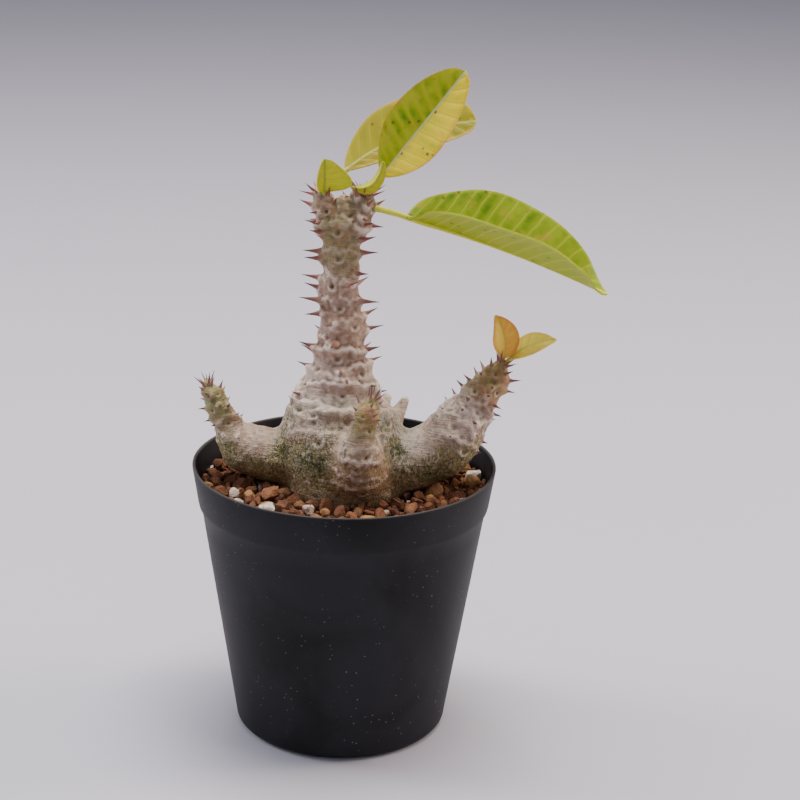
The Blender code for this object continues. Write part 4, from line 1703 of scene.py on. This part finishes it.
# %% Body of the bed
GAP = 0.4 * MM
low = FLOOR + GAP
bed_profile = [
    (3 * MM, BED - 1.6 * MM),
    *[(r * MM, BED - 1.6 * MM) for r in (10, 17, 24, 31, 37)],
    (inner_radius(BED) - 1.2 * MM, BED - 1.8 * MM),
    (inner_radius(BED - 3 * MM) - GAP, BED - 3 * MM),
    (inner_radius(ledge) - GAP, ledge),
    *[(inner_radius(h * MM) - GAP, h * MM) for h in (62, 50, 35, 20, 8)],
    (inner_radius(low + 2 * MM) - GAP, low + 2 * MM),
    (inner_radius(low) - 2.5 * MM, low),
    (14 * MM, low),
    (3 * MM, low),
]
bed = turned("bed_body", bed_profile, 96)
only(bed)
bpy.ops.object.mode_set(mode="EDIT")
bpy.ops.mesh.select_all(action="SELECT")
bpy.ops.mesh.subdivide(number_cuts=2)
bpy.ops.object.mode_set(mode="OBJECT")
apply_modifier(bed, "DISPLACE", texture=cloud_texture("crumbs", 1.6 * MM), strength=0.5 * MM)
print("bed body", len(bed.data.polygons), "faces")

# %% [markdown]
# Fired clay is a soft, dull, porous stone; pumice is a white glass foam with open pores; the tan
# pebbles are worn smooth.  One recipe makes all of them, from tones, grit, pits and gloss.


# %% Stone finishes
def stone_finish(name, light, dark, deep, grit, rough, pores=0.0):
    """Broken stone or clay: tone from stone to stone, fine grit, and pits or pores."""
    made, shader, value = new_material(name, "tone")
    follow(
        made,
        value,
        ("colour", "mix", "tone", dark, light),
        ("broad", "noise", "place", 1 / (2.2 * MM), 3.0),
        ("blot", "range", "broad", 0.45, 0.7, 0.0, 0.55),
        ("colour", "mix", "blot", "colour", deep),
        ("pit", "cells", "place", 1 / (0.7 * MM)),
        ("hole", "range", "pit", 0.28, 0.12, 0.0, pores),
        ("Base Color", "mix", "hole", "colour", deep),
        ("fine", "noise", "place", 1 / (grit * MM), 5.0),
        ("relief", "subtract", "fine", "hole"),
        ("Normal", "bump", "relief", 1.0, 0.5 * MM),
    )
    connect(made, shader, value, "Base Color", "Normal")
    shader.inputs["Roughness"].default_value = rough
    return made


clay = stone_finish("fired_clay_granule", "#96603f", "#5a3523", "#331b10", 0.6, 0.95, 0.3)
pumice = stone_finish("broken_pumice", "#f3e6da", "#d9c3b2", "#8a6a55", 0.5, 0.9, 0.6)
gravel = stone_finish("rolled_tan_gravel", "#a97a45", "#7c5330", "#5a3820", 0.9, 0.7, 0.15)
# painted shade: the bed body is nearly black, so that the gaps between the stones read as shade
near_black_fill = stone_finish("bed_fill_painted_shade", "#2c180e", "#1a0d07", "#0e0603", 0.8, 1.0, 0.4)
keep_numbers(bed, "tone", np.full(len(bed.data.vertices), 0.4))
hand_over(bed, near_black_fill, "growing_medium", "growing_medium", smooth=50)

# %% [markdown]
# A stone is broken from a ball: a few planes cut its sides flat, then its points are shifted a
# little.  Rolled pebbles get fewer and shallower cuts.  Small stones have only a few dozen faces,
# since there are hundreds of them.


# %% Rough stones to copy
def rough_stone(name, seed, angular, detail):
    """A ball with flat faces broken off and its points pushed about; with detail it starts finer.
    """
    start_clean()
    bpy.ops.mesh.primitive_ico_sphere_add(subdivisions=2 if detail < 3 else 3, radius=1.0)
    made = bpy.context.object
    made.name = name
    chance = np.random.default_rng(seed)
    points = points_of(made)
    for _ in range(7 if angular else 5):  # break flat faces off the ball
        normal = chance.normal(size=3)
        normal /= np.linalg.norm(normal)
        depth = chance.uniform(0.38, 0.78) if angular else chance.uniform(0.75, 0.95)
        over = points @ normal - depth
        points -= np.maximum(over, 0)[:, None] * normal
    points *= 1 + chance.uniform(-0.08, 0.08, size=(len(points), 1))
    move_points(made, points)
    return made


small_shapes = {
    "clay": [rough_stone(f"clay_{i}", 30 + i, True, 2) for i in range(5)],
    "pumice": [rough_stone(f"pumice_{i}", 50 + i, True, 2) for i in range(4)],
    "gravel": [rough_stone(f"gravel_{i}", 70 + i, False, 2) for i in range(4)],
}
print({kind: len(shapes) for kind, shapes in small_shapes.items()}, "shapes")

# %% [markdown]
# The larger stones take their places and sizes from the frame's grains, one for each.  A search
# tree of the plant's skin tells how far a point is from the plant, and on which side of it.

# %% Place the larger stones
plant = BVHTree.FromObject(body, bpy.context.evaluated_depsgraph_get())


def clear_of_plant(point, radius):
    """Whether a stone's centre is outside the plant, and at least part of its radius away."""
    hit, normal, _, distance = plant.find_nearest(point)
    return (point - hit).dot(normal) > 0 and distance > radius * 0.75


# painted shadow: the pumice under the right branch is painted darker and duller
dust_and_shade = stone_finish("pumice_in_painted_shadow", "#9c966a", "#857c54", "#5c4e34", 0.6, 0.9, 0.4)
stone_kinds = {  # finish and slot
    "akadama": (clay, "fired_clay_grain"),
    "clay": (clay, "fired_clay_grain"),
    "pumice": (pumice, "pumice_grain"),
    "gravel": (gravel, "tan_gravel_grain"),
}
SUNK = 0.9 * MM  # how far a stone settles into the bed
SWELL = 1.12  # makes up for what the broken faces take off
large_stones = []
names = sorted(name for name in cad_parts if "_grain_" in name)
for seed, name in enumerate(names):
    kind = name.split("_")[0]
    low_corner, high_corner = (Vector(corner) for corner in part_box(name))
    centre, size = (low_corner + high_corner) / 2, (high_corner - low_corner) / 2
    stone = rough_stone(name.replace("_grain_", "_stone_"), 200 + seed, kind != "gravel", 3)
    place = Matrix.Translation(centre - Vector((0, 0, SUNK)))
    stone.data.transform(place @ Matrix.Diagonal((*size * SWELL, 1)))
    apply_modifier(stone, "SUBSURF", levels=1, render_levels=1)
    chips = cloud_texture("chips", 1.3 * MM)
    apply_modifier(stone, "DISPLACE", texture=chips, strength=0.55 * MM, mid_level=0.5)
    tone = random.Random(seed).uniform(0, 1)
    keep_numbers(stone, "tone", np.full(len(stone.data.vertices), tone))
    finish, slot = stone_kinds[kind]
    if kind == "pumice" and centre.x > 25 * MM:  # those under the right branch are painted darker, as the branch's painted shadow
        finish = dust_and_shade
    hand_over(stone, finish, slot, name, smooth=35)
    large_stones.append((centre.x, centre.y, max(size.x, size.y)))
print(len(large_stones), "larger stones")

# %% [markdown]
# The small stones are thrown in at random, large ones first.  A throw counts only if the stone
# is inside the pot, clear of the plant and not on top of another.  A last, lower layer fills the
# gaps between them.

# %% Scatter the small stones
chance = random.Random(5)
taken = list(large_stones)
heaps = {"clay": [], "pumice": [], "gravel": []}
mouth = inner_radius(BED)
OVERLAP = 0.86  # stones may lie a little over each other, seen from above
LOWER_LAYER = 900
rounds = [  # tries, radius from and to in mm, depth of the centre under the bed in mm
    (2600, 2.0, 3.3, 0.3),
    (3500, 1.2, 2.1, 0.1),
    (5000, 0.6, 1.2, 0.0),
]
for tries, smallest, largest, depth in rounds:
    for _ in range(tries):
        radius = chance.uniform(smallest, largest) * MM
        away = mouth * math.sqrt(chance.uniform(0.05, 1.0))
        angle = chance.uniform(0, 2 * math.pi)
        kind = chance.choices(("clay", "gravel", "pumice"), (83, 11, 6))[0]
        if away + radius * 0.9 > mouth:
            continue
        x, y = away * math.cos(angle), away * math.sin(angle)
        if any(math.hypot(x - u, y - v) < OVERLAP * (radius + r) for u, v, r in taken):
            continue
        spot = Vector((x, y, BED - depth * MM + radius * 0.3 - 0.5 * MM))
        if not clear_of_plant(spot, radius):
            continue
        taken.append((x, y, radius))
        heaps[kind].append((spot, radius))
for _ in range(LOWER_LAYER):  # these show between the others
    radius = chance.uniform(0.9, 1.7) * MM
    away = mouth * math.sqrt(chance.uniform(0.1, 1.0))
    angle = chance.uniform(0, 2 * math.pi)
    if away + radius > mouth:
        continue
    spot = Vector((away * math.cos(angle), away * math.sin(angle), BED - 1.5 * MM))
    if clear_of_plant(spot, radius):
        heaps["clay"].append((spot, radius))
print({kind: len(heap) for kind, heap in heaps.items()}, "small stones")

# %% [markdown]
# Each place gets a copy of one of the shapes, turned, squeezed and with a tone of its own.  The
# copies of a kind are joined into one piece, so that hundreds of stones make three pieces.

# %% Copy the small stones
FULL_TURN = 6.28
for kind, heap in heaps.items():
    copies = []
    for spot, radius in heap:
        pattern = chance.choice(small_shapes[kind])
        copy = pattern.copy()
        copy.data = pattern.data.copy()
        bpy.context.collection.objects.link(copy)
        turn = Euler([chance.uniform(0, FULL_TURN) for _ in range(3)]).to_matrix().to_4x4()
        stretch = (1.0, chance.uniform(0.75, 0.95), chance.uniform(0.65, 0.85))
        size = Matrix.Diagonal((*[radius * SWELL * a for a in stretch], 1.0))
        copy.data.transform(Matrix.Translation(spot) @ turn @ size)
        keep_numbers(copy, "tone", np.full(len(copy.data.vertices), chance.uniform(0, 1)))
        copies.append(copy)
    heap_piece = join(copies, f"small_{kind}_stones")
    hand_over(heap_piece, *stone_kinds[kind], smooth=30)
for shapes in small_shapes.values():
    for shape in shapes:
        bpy.data.objects.remove(shape)
